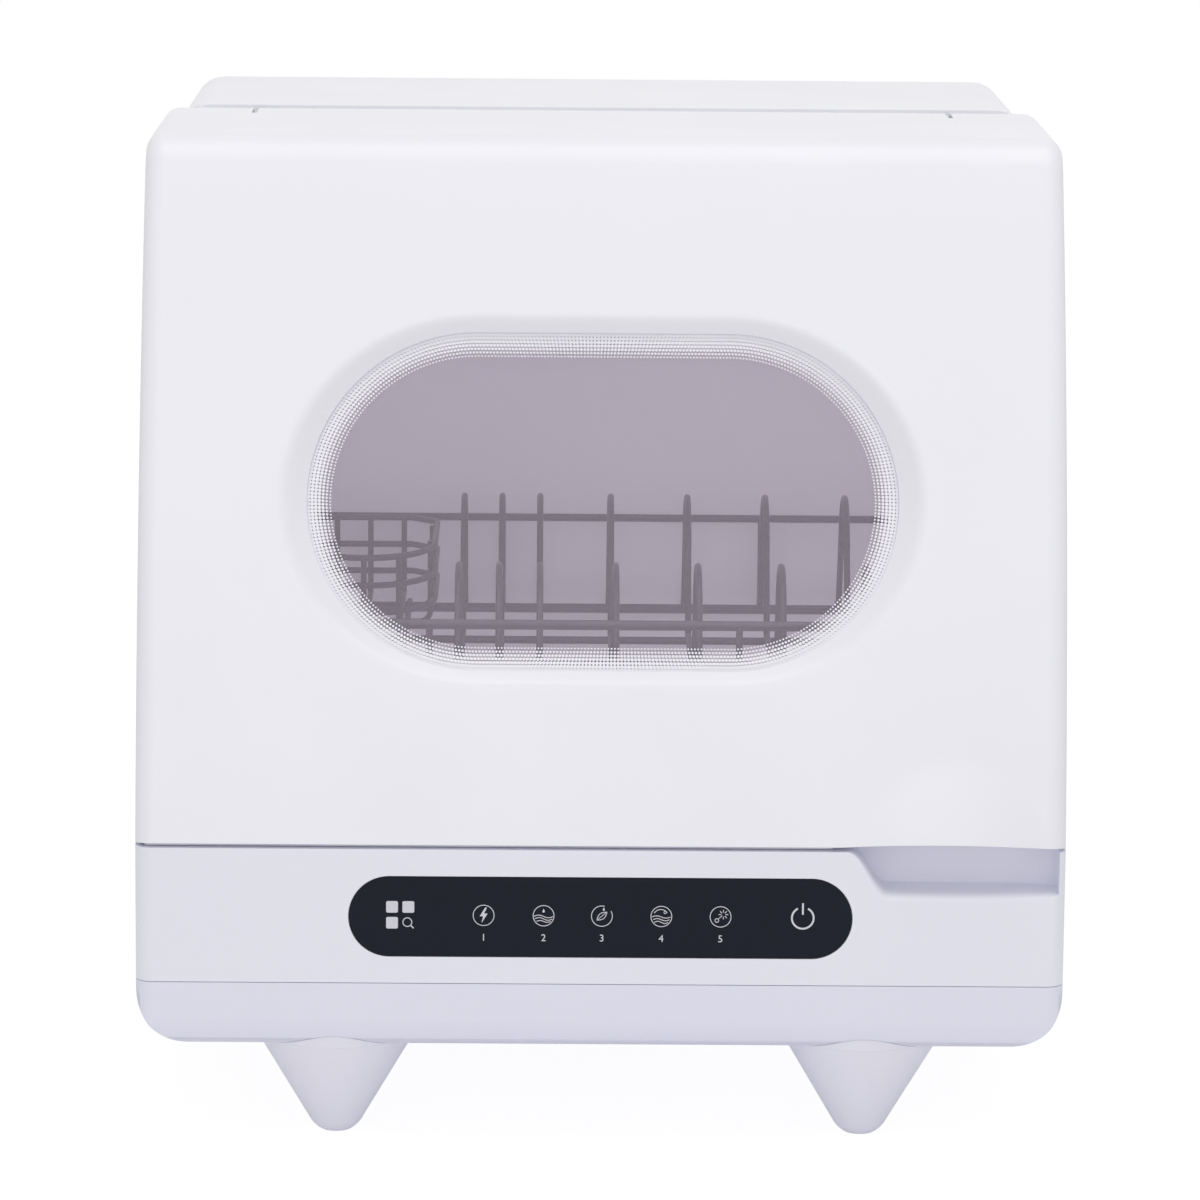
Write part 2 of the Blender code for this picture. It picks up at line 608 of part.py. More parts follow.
def build_door():
    """Outer skin, inner door, glass and seal."""
    cheek = [(mouth_y(DOOR_Z, CHEEK_OFFSET), DOOR_Z)]
    shell = hood("door_shell", door_path(0, DOOR_Z), cheek, HALF_WIDTH, EDGE_RADIUS,
                 DOOR_Z + 0.001, CHEEK_OFFSET + 0.002, parts)
    shell.data.materials.append(material("door_shell_finish", **WHITE_ABS))
    handle = blister("door_handle_bulge", 0)
    join(shell, handle)
    flange_back = mouth_y(DOOR_Z, PANEL_EDGE + 0.002)
    behind = [(BACK, HINGE_Z - 0.03), (BACK, PAN_Z), (flange_back, PAN_Z), (flange_back, DOOR_Z + WALL)]
    cavity = hood("door_cavity", door_path(WALL, DOOR_Z + WALL), behind, HALF_WIDTH - WALL,
                  EDGE_RADIUS - WALL, DOOR_Z + 2 * WALL, CHEEK_OFFSET + 0.004, cutters)
    boss_depth = WINDOW_RECESS + WINDOW_LEDGE
    boss = extruded("window_boss", [stadium(WINDOW_BEVEL + WALL)], -boss_depth, WALL, WINDOW, cutters)
    cut(cavity, boss)
    cut(shell, cavity, blister("door_handle_hollow", WALL))
    slope = WINDOW_BEVEL / WINDOW_RECESS
    flare = loft("window_flare", stadium(0), stadium(WINDOW_BEVEL + slope * WALL), -WINDOW_RECESS, WALL, WINDOW)
    opening = extruded("window_opening", [stadium(-CLEARANCE)], -2 * boss_depth, 0, WINDOW, cutters)
    cut(shell, flare, opening)
    for side in (-1, 1):
        slit = box("hinge_slit", (side * HINGE_X - SHEET / 2 - CLEARANCE, HINGE_Y - 0.004, COVER_Z - 0.02),
                   (side * HINGE_X + SHEET / 2 + CLEARANCE, BACK, TOP_Z + WALL), cutters)
        cut(shell, slit)

    glass_front = -boss_depth - CLEARANCE
    glass_back = glass_front - GLASS_THICKNESS
    extruded("window_glass", [stadium(GLASS_OVERLAP)], glass_back, glass_front, WINDOW, parts, CLEAR_GLASS)
    extruded("window_gasket", [stadium(GLASS_OVERLAP + CLEARANCE + 0.003), stadium(GLASS_OVERLAP + CLEARANCE)],
             glass_back, glass_front, WINDOW, parts, SOFT_RUBBER)

    seal_face = MOUTH_OFFSET + CLEARANCE + SEAL_HEIGHT + CLEARANCE
    liner_lean = asin((LINER_TOP - ARC_Z) / (DOOR_ARC - LINER_OFFSET))
    liner = inner_door_solid("door_liner", LINER_OFFSET, LINER_BOTTOM, LINER_TOP, seal_face,
                             LINER_HALF_WIDTH, parts, liner_lean)
    liner.data.materials.append(material("door_liner_finish", **PALE_PP))
    hollow = inner_door_solid("liner_hollow", LINER_OFFSET + TUB_WALL, LINER_BOTTOM + TUB_WALL,
                              LINER_TOP - TUB_WALL, seal_face + LINER_FLANGE,
                              LINER_HALF_WIDTH - TUB_WALL, cutters, liner_lean)
    rim = extruded("liner_glass_rim", [stadium(GLASS_OVERLAP - 0.001)], glass_back - CLEARANCE - 0.012,
                   glass_back - CLEARANCE, WINDOW, cutters)
    view = extruded("liner_view", [stadium(-0.003)], -0.05, 0.01, WINDOW, cutters)
    grow = SEAL_OFFSET / 2
    entry = extruded("liner_entry", [span(-TUB_HALF_WIDTH - grow, TUB_HALF_WIDTH + grow, MOUTH_LOW - grow,
                                          MOUTH_HIGH + grow, MOUTH_RADIUS)],
                     seal_face - 0.005, seal_face + 2 * LINER_FLANGE, MOUTH, cutters)
    trim = extruded("liner_rim_trim", [stadium(0.02)], -0.06, -LINER_OFFSET - 0.009, WINDOW, cutters)
    cut(rim, trim)
    cut(liner, hollow)
    join(liner, rim)
    cut(liner, view, entry)


def blister(name, inset):
    """The lift handle: an egg-shaped swelling on the door's lower right edge, flat underneath."""
    height = HANDLE_PROUD + HANDLE_SINK
    shape = sqrt(1 - (HANDLE_SINK / height) ** 2)
    wide = HANDLE_HALF_WIDTH / shape - inset
    lower = DOOR_Z - inset
    bm = bmesh.new()
    bmesh.ops.create_uvsphere(bm, u_segments=20, v_segments=12, radius=1)
    bmesh.ops.scale(bm, vec=(wide, height - inset, wide), verts=bm.verts)
    bmesh.ops.rotate(bm, matrix=Matrix.Rotation(-LEAN_BOTTOM, 3, "X"), verts=bm.verts)
    bmesh.ops.translate(bm, vec=(HANDLE_X, FRONT + HANDLE_SINK, lower), verts=bm.verts)
    if inset == 0:
        seam = lower + CLEARANCE
        bmesh.ops.bisect_plane(bm, geom=bm.verts[:] + bm.edges[:] + bm.faces[:], dist=0.000001,
                               plane_co=(0, 0, seam), plane_no=(0, 0, -1), clear_outer=True)
        rim = [edge for edge in bm.edges if edge.is_boundary]
        bmesh.ops.contextual_create(bm, geom=rim)
    return place(name, mesh_from(bm, name), cutters)


def inner_door_solid(name, inset, bottom, top, back_plane, half_width, collection, last_lean):
    """The wedge that the inner door fills, from its curved front to the sealing plane."""
    radius = DOOR_ARC - inset
    first = asin((bottom - ARC_Z) / radius)
    last = asin((top - ARC_Z) / radius)
    front = []
    for i in range(11):
        lean = first + (last - first) * i / 10
        front.append((ARC_Y - radius * cos(lean), ARC_Z + radius * sin(lean)))
    outline = front + [(mouth_y(top, back_plane), top), (mouth_y(bottom, back_plane), bottom)]
    solid = extruded(name, [outline], -half_width, half_width, SIDE, collection)
    crest = front[-1]

    def at_crest(middle, direction):
        return abs(direction.x) > 0.99 and hypot(middle.y - crest[0], middle.z - crest[1]) < 0.00001

    round_edges(solid, at_crest, 0.02 - inset + LINER_OFFSET, 4)
    return solid


def case(name, half_width, front, back, low, high, plan_radius, collection=parts, finish=None):
    """A box with round upright edges."""
    return extruded(name, [span(-half_width, half_width, front, back, plan_radius)], low, high, PLAN,
                    collection, finish)


def pan_solid(name, inset, collection, finish=None):
    """The base pan's outer or inner form: round upright edges, larger rounds along the bottom."""
    low = PAN_Z + inset
    high = SEAM_Z if inset == 0 else SEAM_Z + 0.01
    solid = case(name, HALF_WIDTH - inset, FRONT + inset, BACK - inset, low, high, EDGE_RADIUS - inset,
                 collection, finish)
    side_radius, front_radius = PAN_SIDE_RADIUS - inset, PAN_FRONT_RADIUS - inset
    tall = high + 0.01
    width = HALF_WIDTH - inset
    flanks = [(width, tall), (-width, tall)]
    flanks += arc((-width + side_radius, low + side_radius), side_radius, pi, 1.5 * pi, 5)
    flanks += arc((width - side_radius, low + side_radius), side_radius, 1.5 * pi, 2 * pi, 5)
    profile = [(BACK - inset, tall), (FRONT + inset, tall)]
    profile += arc((FRONT + inset + front_radius, low + front_radius), front_radius, pi, 1.5 * pi, 3)
    profile += arc((BACK - inset - front_radius, low + front_radius), front_radius, 1.5 * pi, 2 * pi, 3)
    past = HALF_WIDTH + BACK
    across = extruded(name + "_flanks", [flanks], -past, past, FACE, cutters)
    lengthways = extruded(name + "_ends", [profile], -past, past, SIDE, cutters)
    boolean(solid, across, "INTERSECT")
    boolean(solid, lengthways, "INTERSECT")
    return solid


def foot_places():
    """Name and centre of each foot."""
    front, back = FRONT + FOOT_INSET, BACK - FOOT_INSET
    return (("foot_front_left", -FOOT_X, front), ("foot_front_right", FOOT_X, front),
            ("foot_rear_left", -FOOT_X, back), ("foot_rear_right", FOOT_X, back))


def build_base():
    """Base pan, housing, feet and control panel."""
    pan = pan_solid("base_pan", 0, parts, WHITE_ABS)
    cut(pan, pan_solid("pan_hollow", WALL, cutters))
    for name, x, y in foot_places():
        cut(pan, drum(name + "_hole", FOOT_STEM_RADIUS + CLEARANCE, 4 * WALL,
                      along("Z", (x, y, PAN_Z - WALL)), sides=24))
    slots = 4
    pitch = 0.014
    for i in range(slots):
        x = (i - (slots - 1) / 2) * pitch
        cut(pan, extruded("pan_vent", [span(x - 0.002, x + 0.002, 0.09, 0.13, 0.0019, 1)],
                          PAN_Z - WALL, PAN_Z + 2 * WALL, PLAN, cutters))

    stem = 2.2 * WALL
    tip = arc((0, FOOT_TIP_RADIUS), FOOT_TIP_RADIUS, -FOOT_SLOPE, -acos(FOOT_FLAT / FOOT_TIP_RADIUS), 3)
    profile = [(0, PAN_Z + stem), (FOOT_STEM_RADIUS, PAN_Z + stem), (FOOT_STEM_RADIUS, PAN_Z - CLEARANCE),
               (FOOT_TOP_RADIUS + 0.004, PAN_Z - CLEARANCE), (FOOT_TOP_RADIUS, PAN_Z - 0.003)]
    sunk = tip[-1][1]
    profile += [(radius, height - sunk) for radius, height in tip] + [(0, 0)]
    for name, x, y in foot_places():
        turned(name, profile, Matrix.Translation((x, y, 0)), parts, WHITE_ABS, 18)

    housing = case("base_housing", HALF_WIDTH, FRONT, BACK, SEAM_Z + CLEARANCE, DECK_Z, EDGE_RADIUS, parts,
                   WHITE_ABS)
    inside = case("housing_hollow", HALF_WIDTH - WALL, FRONT + WALL, BACK - WALL, SEAM_Z - 0.01,
                  DECK_Z - WALL, EDGE_RADIUS - WALL, cutters)
    cut(inside, notch_solid("notch_block", WALL))
    cut(housing, inside, notch_solid("finger_notch", 0))
    port = HOSE_PORT_HALF
    for low_x, high_x, low_y, high_y in ((-SUMP_PORT_X, SUMP_PORT_X, -SUMP_PORT_Y, SUMP_PORT_Y),
                                         (-port, port, PIPE_Y - 0.008, PIPE_Y + 0.01),
                                         (TANK_HOSE_X - port, TANK_HOSE_X + port, TANK_Y - port, TANK_Y + port),
                                         (DRAIN_X - port, DRAIN_X + port, TANK_Y - 0.016, TANK_Y + 0.008)):
        cut(housing, extruded("deck_port", [span(low_x, high_x, low_y, high_y, 0.008, 1)],
                              DECK_Z - 2 * WALL, DECK_Z + WALL, PLAN, cutters))
    panel_z = SEAM_Z + PANEL_RISE
    outline = rounded(PANEL_HALF_LENGTH, PANEL_HALF_HEIGHT, PANEL_HALF_HEIGHT, 10, (0, panel_z))
    seat = rounded(PANEL_HALF_LENGTH + CLEARANCE, PANEL_HALF_HEIGHT + CLEARANCE,
                   PANEL_HALF_HEIGHT + CLEARANCE, 10, (0, panel_z))
    back = -FRONT - PANEL_THICKNESS
    cut(housing, extruded("panel_seat", [seat], back - CLEARANCE, -FRONT + WALL, FACE, cutters))
    window = rounded(PANEL_HALF_LENGTH - 0.008, PANEL_HALF_HEIGHT - 0.005, 0.004, 3, (0, panel_z))
    cut(housing, extruded("touch_window", [window], -FRONT - 2 * WALL, -FRONT, FACE, cutters))
    extruded("control_panel", [outline], back, -FRONT - 0.0001, FACE, parts, BLACK_GLOSS)
    board_front = -FRONT - WALL - CLEARANCE
    extruded("control_board", [rounded(PANEL_HALF_LENGTH - 0.004, PANEL_HALF_HEIGHT - 0.002, 0.003, 2,
                                       (0, panel_z))],
             board_front - BOARD_THICKNESS, board_front, FACE, parts, BOARD_GREEN)


def notch_solid(name, grow):
    """The finger recess: its front outline falls in a smooth S to a flat floor."""
    floor = DECK_Z - NOTCH_DEPTH
    points = []
    for i in range(9):
        t = i / 8
        fall = NOTCH_DEPTH * (1 - cos(pi * t)) / 2
        points.append((NOTCH_START + NOTCH_LENGTH * t - grow, DECK_Z - fall - grow))
    end = HALF_WIDTH - NOTCH_END_WALL + grow
    points += [(end, floor - grow), (end, DECK_Z + 0.01), (NOTCH_START - grow, DECK_Z + 0.01)]
    back = -FRONT - NOTCH_REACH - grow
    solid = extruded(name, [points], back, -FRONT + 0.02 - 2 * grow, FACE, cutters)

    def rear_end(middle, direction):
        return abs(direction.z) > 0.99 and abs(middle.y + back) < 0.00001 and abs(middle.x - end) < 0.00001

    round_edges(solid, rear_end, NOTCH_CORNER + grow, 4)
    return solid


def build_body():
    """Side panels, top and rear covers."""
    for side, name in ((-1, "left_side_panel"), (1, "right_side_panel")):
        low, high = sorted((side * (BODY_HALF_WIDTH - WALL), side * BODY_HALF_WIDTH))
        corner = BACK - BODY_RADIUS - CLEARANCE
        low_edge = DECK_Z + CLEARANCE
        outline = [(corner, low_edge), (corner, ROOF_LINE), (mouth_y(ROOF_LINE, PANEL_EDGE), ROOF_LINE),
                   (mouth_y(low_edge, PANEL_EDGE), low_edge)]
        panel = extruded(name, [outline], low, high, SIDE, parts, WHITE_ABS)
        cut(panel, drum(name + "_roll_relief", ROLL_RADIUS + 0.001, 3 * WALL,
                        along("X", (low - WALL, HINGE_Y, HINGE_Z)), sides=40))

    cover = cover_solid("top_cover", 0, parts)
    cover.data.materials.append(material("top_cover_finish", **WHITE_ABS))
    cut(cover, cover_solid("cover_hollow", WALL, cutters))

    outer = plan_u(0)
    inner = plan_u(WALL)
    rear = extruded("rear_cover", [outer + inner[::-1]], DECK_Z + CLEARANCE, ROOF_LINE, PLAN, parts, WHITE_ABS)
    for row in range(4):
        z = 0.335 + row * 0.012
        for side in (-1, 1):
            x = side * 0.1
            cut(rear, extruded("rear_louvre", [span(x - 0.03, x + 0.03, z, z + 0.004, 0.0019, 1)],
                               -BACK - WALL, -BACK + 2 * WALL, FACE, cutters))
    for name, x, z, radius in service_ports():
        cut(rear, drum(name + "_hole", radius + CLEARANCE, 4 * WALL,
                       along("Y", (x, BACK - 2 * WALL, z)), sides=24))


def service_ports():
    """Name, place and neck radius of what passes through the rear cover."""
    return (("water_inlet", INLET_X, SERVICE_Z, SPIGOT_RADIUS),
            ("drain_outlet", DRAIN_X, SERVICE_Z, SPIGOT_RADIUS), ("cord_inlet", CORD_X, SERVICE_Z, CORD_NECK))


def plan_u(inset):
    """The rear cover's plan: across the back and round both corners."""
    half, back, radius = BODY_HALF_WIDTH - inset, BACK - inset, BODY_RADIUS - inset
    start = BACK - BODY_RADIUS
    return ([(half, start)] + arc((half - radius, back - radius), radius, 0, pi / 2, 5)[1:]
            + arc((-half + radius, back - radius), radius, pi / 2, pi, 5)[:-1] + [(-half, start)])


def cover_solid(name, inset, collection):
    """The top cover's outer or inner form, rounded along its sides and back."""
    low = COVER_Z - (0.02 if inset else 0)
    high = TOP_Z - inset
    solid = box(name, (-BODY_HALF_WIDTH + inset, COVER_FRONT + inset, low),
                (BODY_HALF_WIDTH - inset, BACK - inset, high), collection)
    radius = BODY_RADIUS - inset

    def upper(middle, direction):
        side = abs(abs(middle.x) - BODY_HALF_WIDTH + inset) < 0.00001 and middle.z > high - 0.00001
        rear = abs(middle.y - BACK + inset) < 0.00001 and middle.z > high - 0.00001
        upright = abs(direction.z) > 0.99 and middle.y > 0
        return side or rear or (upright and abs(middle.y - BACK + inset) < 0.00001)

    round_edges(solid, upper, radius, 5)
    return solid


def tub_solid(name, inset, collection, front_plane):
    """The tub's outer or inner form, open side cut by a plane parallel to the mouth."""
    low, high, back = TUB_Z + inset, TUB_TOP - inset, TUB_BACK + TUB_WALL - inset
    half = TUB_HALF_WIDTH + TUB_WALL - inset
    radius = TUB_RADIUS - inset
    outline = [(mouth_y(low, front_plane), low)]
    outline += arc((back - radius, low + radius), radius, -pi / 2, 0, 4)
    outline += arc((back - radius, high - radius), radius, 0, pi / 2, 4)
    outline += [(mouth_y(high, front_plane), high)]
    solid = extruded(name, [outline], -half, half, SIDE, collection)

    def side_edges(middle, direction):
        ahead = -cos(MOUTH_TILT) * middle.y + sin(MOUTH_TILT) * middle.z
        return abs(abs(middle.x) - half) < 0.00001 and ahead < front_plane - 0.0001

    round_edges(solid, side_edges, 0.014 - inset, 2)
    return solid


def build_tub():
    """Tub, front frame, seal, runners and heater."""
    frame_back = MOUTH_OFFSET - FRAME_THICKNESS
    tub = tub_solid("tub", 0, parts, frame_back - CLEARANCE)
    tub.data.materials.append(material("tub_finish", **PALE_PP))
    cut(tub, tub_solid("tub_hollow", TUB_WALL, cutters, frame_back + 0.02))
    floor = TUB_Z - TUB_WALL
    cut(tub, drum("sump_mouth", SUMP_RADIUS - TUB_WALL, 3 * TUB_WALL, along("Z", (0, SUMP_Y, floor))))
    cut(tub, drum("upper_pipe_hole", SPINDLE_RADIUS + CLEARANCE, 4 * TUB_WALL,
                  along("Z", (0, UPPER_ARM_Y, TUB_TOP - 2 * TUB_WALL)), sides=20))
    cut(tub, drum("float_hole", 0.004 + CLEARANCE, 4 * TUB_WALL,
                  along("Z", (FLOAT_X, FLOAT_Y, floor)), sides=20))
    for x in (-HEATER_PIN_X, HEATER_PIN_X):
        cut(tub, drum("heater_hole", HEATER_RADIUS + 2 * CLEARANCE, 4 * TUB_WALL,
                      along("Z", (x, HEATER_PIN_Y, floor)), sides=16))
    cut(tub, drum("vent_hole", FAN_EYE, 4 * TUB_WALL,
                  along("Y", (FAN_X, TUB_BACK - TUB_WALL, FAN_Z)), sides=20))

    low = (DECK_Z + CLEARANCE - sin(MOUTH_TILT) * frame_back) / cos(MOUTH_TILT)
    edge = BODY_HALF_WIDTH - WALL - CLEARANCE
    mouth = span(-TUB_HALF_WIDTH, TUB_HALF_WIDTH, MOUTH_LOW, MOUTH_HIGH, MOUTH_RADIUS)
    extruded("tub_front_frame", [span(-edge, edge, low, FRAME_TOP, 0.006), mouth], frame_back, MOUTH_OFFSET,
             MOUTH, parts, PALE_PP)

    def seal_line(grow):
        return span(-TUB_HALF_WIDTH - grow, TUB_HALF_WIDTH + grow, MOUTH_LOW - grow, MOUTH_HIGH + grow,
                    MOUTH_RADIUS + grow, 5)

    bottom = MOUTH_OFFSET + CLEARANCE
    extruded("door_gasket", [seal_line(SEAL_OFFSET + SEAL_WIDTH), seal_line(SEAL_OFFSET)], bottom,
             bottom + SEAL_HEIGHT, MOUTH, parts, SOFT_RUBBER)

    rail_top = RAIL_Z - RAIL_RADIUS - CLEARANCE
    for side, name in ((-1, "left_rack_runner"), (1, "right_rack_runner")):
        wall = TUB_HALF_WIDTH - CLEARANCE
        plate = wall - RUNNER_THICKNESS
        shelf = rail_top - RUNNER_THICKNESS
        profile = [(wall, rail_top + RUNNER_RISE), (plate, rail_top + RUNNER_RISE), (plate, rail_top),
                   (RUNNER_INNER, rail_top), (RUNNER_INNER, shelf), (wall - RUNNER_RISE, shelf),
                   (wall, shelf - RUNNER_RISE)]
        extruded(name, [[(side * x, z) for x, z in profile]], -RUNNER_BACK, -RUNNER_FRONT, FACE, parts, PALE_PP)

    turns = 20
    tail = TUB_Z - 0.012
    sweep = 2 * (pi - HEATER_OPENING)
    loop = arc((0, SUMP_Y), HEATER_LOOP, pi / 2 + HEATER_OPENING, pi / 2 + HEATER_OPENING + sweep, turns)
    path = [(loop[0][0], loop[0][1], tail)] + [(x, y, HEATER_Z) for x, y in loop]
    path.append((loop[-1][0], loop[-1][1], tail))
    wires("heater", [path], HEATER_RADIUS, resolution=1, finish=STEEL)


def build_rack():
    """Wire rack: plate arches, rails, cross wires and two loops, all welded into one."""
    low, top = RACK_FLOOR, ARCH_TOP - WIRE_RADIUS
    lengthways = []
    for x in ARCH_WIRES:
        path = [(x, RACK_FRONT, low)]
        for row in ARCH_ROWS:
            front, back = row - ARCH_SPREAD / 2, row + ARCH_SPREAD / 2
            path += [(x, front - FOOT_TURN, low), (x, front, low + FOOT_TURN)]
            crown = arc((row, top - ARCH_CROWN), ARCH_CROWN, radians(168), radians(12), 4)
            path += [(x, y, z) for y, z in crown]
            path += [(x, back, low + FOOT_TURN), (x, back + FOOT_TURN, low)]
        path.append((x, RACK_BACK, low))
        lengthways.append(path)
    for x in FLOOR_WIRES:
        lengthways.append([(x, RACK_FRONT, low), (x, RACK_BACK, low)])
    rack = wires("dish_rack", lengthways, WIRE_RADIUS, resolution=1, finish=COATED_WIRE)

    side = RUNNER_INNER + 0.005
    across = []
    for row in ARCH_ROWS:
        for y in (row - ARCH_SPREAD / 2, row + ARCH_SPREAD / 2):
            across.append([(-side, y, RAIL_Z), (side, y, RAIL_Z)])
    for y in CROSS_WIRES:
        across.append(bent([(-RACK_HALF_WIDTH, y, RACK_RIM), (-RACK_HALF_WIDTH, y, RAIL_Z),
                            (RACK_HALF_WIDTH, y, RAIL_Z), (RACK_HALF_WIDTH, y, RACK_RIM)], 0.009, 2))
    join(rack, wires("rack_rails", across, RAIL_RADIUS, resolution=1, collection=cutters))

    def loop(half, front, back, radius, level):
        return [(x, y, level) for x, y in span(-half, half, front, back, radius, 3)]

    loops = [loop(RACK_HALF_WIDTH, RACK_FRONT, RACK_BACK, 0.016, RACK_RIM),
             loop(side, RACK_FRONT, RACK_BACK, 0.012, RAIL_Z)]
    join(rack, wires("rack_loops", loops, RAIL_RADIUS, cyclic=True, resolution=1, collection=cutters))

    posts = []
    for x in (ARCH_WIRES[1], ARCH_WIRES[-2]):
        posts.append([(x, RACK_BACK, RAIL_Z), (x, RACK_BACK, RACK_RIM)])
    for x in (-0.075, 0.06):
        posts.append([(x, RACK_FRONT, RAIL_Z), (x, RACK_FRONT, RACK_RIM)])
    join(rack, wires("rack_posts", posts, WIRE_RADIUS, resolution=1, collection=cutters))
    build_basket()


def build_basket():
    """Cutlery basket: bowed rings on upright wires that turn under the floor."""
    back = RACK_BACK - RAIL_RADIUS - WIRE_RADIUS - CLEARANCE
    half = (BASKET_RIGHT - BASKET_LEFT) / 2
    middle = (BASKET_RIGHT + BASKET_LEFT) / 2
    bow = [pi * i / 6 for i in range(7)]
    front = [(middle - half * cos(a), BASKET_CORNER_Y - BASKET_BOW * sin(a)) for a in bow]
    ring = front + [(BASKET_RIGHT, back - BASKET_CUT), (BASKET_RIGHT - BASKET_CUT, back),
                    (BASKET_LEFT + BASKET_CUT, back), (BASKET_LEFT, back - BASKET_CUT)]
    rings = [[(x, y, RACK_RIM - i * BASKET_RING_PITCH) for x, y in ring] for i in range(BASKET_RINGS)]
    basket = wires("cutlery_basket", rings, WIRE_RADIUS, cyclic=True, resolution=1, finish=COATED_WIRE)

    floor = RACK_FLOOR + WIRE_RADIUS + 3 * UPRIGHT_RADIUS - WELD_DEPTH + CLEARANCE
    weld = WIRE_RADIUS + UPRIGHT_RADIUS - WELD_DEPTH
    end = RACK_RIM + WELD_DEPTH / 2
    ups = []
    for i in (2, 3, 4):
        x, y = front[i]
        ups.append(bent([(x, y + weld, end), (x, y + weld, floor), (x, back - weld, floor), (x, back - weld, end)],
                        0.005, 1))
    uprights = wires("basket_uprights", ups, UPRIGHT_RADIUS, resolution=1, collection=cutters)
    boolean(basket, uprights, "UNION", "MANIFOLD")
    sides = []
    under = floor - 2 * UPRIGHT_RADIUS + WELD_DEPTH
    left, right = BASKET_LEFT + weld, BASKET_RIGHT - weld
    for y in (BASKET_CORNER_Y + 0.006, back - 0.024):
        sides.append(bent([(left, y, end), (left, y, under), (right, y, under), (right, y, end)], 0.005, 1))
    hoops = wires("basket_sides", sides, UPRIGHT_RADIUS, resolution=1, collection=cutters)
    boolean(basket, hoops, "UNION", "MANIFOLD")


def spray_arm(name, y, level, reach, facing):
    """A spray arm: tapered blades from a hub, jets on the face towards the dishes."""
    tip = reach - ARM_TIP_RADIUS
    blade = [(tip, ARM_TIP_RADIUS), (ARM_HUB_RADIUS, ARM_ROOT_WIDTH)]
    outline = arc((tip, 0), ARM_TIP_RADIUS, -pi / 2, pi / 2, 4)
    outline += [(x, w) for x, w in blade[1:]] + [(-x, w) for x, w in reversed(blade[1:])]
    outline += arc((-tip, 0), ARM_TIP_RADIUS, pi / 2, 1.5 * pi, 4)
    outline += [(-x, -w) for x, w in blade[1:]] + [(x, -w) for x, w in reversed(blade[1:])]
    frame = Matrix.Translation((0, y, level)) @ Matrix.Rotation(radians(35), 4, "Z")
    arm = extruded(name, [outline], -ARM_THICKNESS / 2, ARM_THICKNESS / 2, frame, parts, GREY_PP)
    round_edges(arm, lambda middle, direction: abs(direction.z) < 0.5, 0.002, 1)
    low = level - ARM_THICKNESS / 2 - ARM_HUB_LIP
    hub = drum(name + "_hub", ARM_HUB_RADIUS, ARM_THICKNESS + 2 * ARM_HUB_LIP,
               along("Z", (0, y, low)), sides=20)
    join(arm, hub)
    bore = SPINDLE_RADIUS + CLEARANCE
    cut(arm, drum(name + "_bore", bore, 3 * ARM_THICKNESS, along("Z", (0, y, low - 0.002)), sides=16))
    inner = ARM_HUB_RADIUS + 4 * JET_RADIUS
    pitch = (tip - inner) / (JETS_PER_SIDE - 0.5)
    for side in (-1, 1):
        for i in range(JETS_PER_SIDE):
            place_on_arm = side * (inner + pitch * (i + 0.25 * (1 + side)))
            spot = frame @ Vector((place_on_arm, side * JET_RADIUS, facing * ARM_THICKNESS / 2 - JET_RADIUS))
            cut(arm, drum(name + "_jet", JET_RADIUS, 2 * JET_RADIUS, Matrix.Translation(spot), sides=6))
    return arm


def build_wash_system():
    """Spray arms and their spindles, sump, filter, float, pumps, tank and fan."""
    spray_arm("lower_spray_arm", SUMP_Y, LOWER_ARM_HEIGHT, LOWER_ARM_REACH, 1)
    spray_arm("upper_spray_arm", UPPER_ARM_Y, UPPER_ARM_HEIGHT, UPPER_ARM_REACH, -1)
    half_hub = ARM_THICKNESS / 2 + ARM_HUB_LIP + CLEARANCE
    low_hub, up_hub = LOWER_ARM_HEIGHT - half_hub, LOWER_ARM_HEIGHT + half_hub
    foot = SUMP_FLOOR + TUB_WALL + CLEARANCE
    post = 0.009
    turned("lower_spray_spindle",
           [(0, up_hub + 0.004), (SPINDLE_FLANGE, up_hub + 0.003), (SPINDLE_FLANGE, up_hub),
            (SPINDLE_RADIUS, up_hub), (SPINDLE_RADIUS, low_hub), (SPINDLE_FLANGE, low_hub),
            (SPINDLE_FLANGE, low_hub - 0.003), (post, low_hub - 0.004), (post, foot), (0, foot)],
           Matrix.Translation((0, SUMP_Y, 0)), parts, GREY_PP, 16)
    low_hub, up_hub = UPPER_ARM_HEIGHT - half_hub, UPPER_ARM_HEIGHT + half_hub
    bore = 0.004
    roof = TUB_TOP - TUB_WALL - CLEARANCE
    turned("upper_spray_spindle",
           [(SPINDLE_RADIUS, UPPER_PIPE_END), (SPINDLE_RADIUS, roof), (SPINDLE_FLANGE + 0.003, roof),
            (SPINDLE_FLANGE, up_hub), (SPINDLE_RADIUS, up_hub), (SPINDLE_RADIUS, low_hub),
            (SPINDLE_FLANGE, low_hub), (SPINDLE_FLANGE, low_hub - 0.003), (bore, low_hub - 0.003),
            (bore, UPPER_PIPE_END)],
           Matrix.Translation((0, UPPER_ARM_Y, 0)), parts, GREY_PP, 16)
    build_sump()
    build_filter()
    build_float()
    build_pumps()
    build_water_tank()
    build_fan()


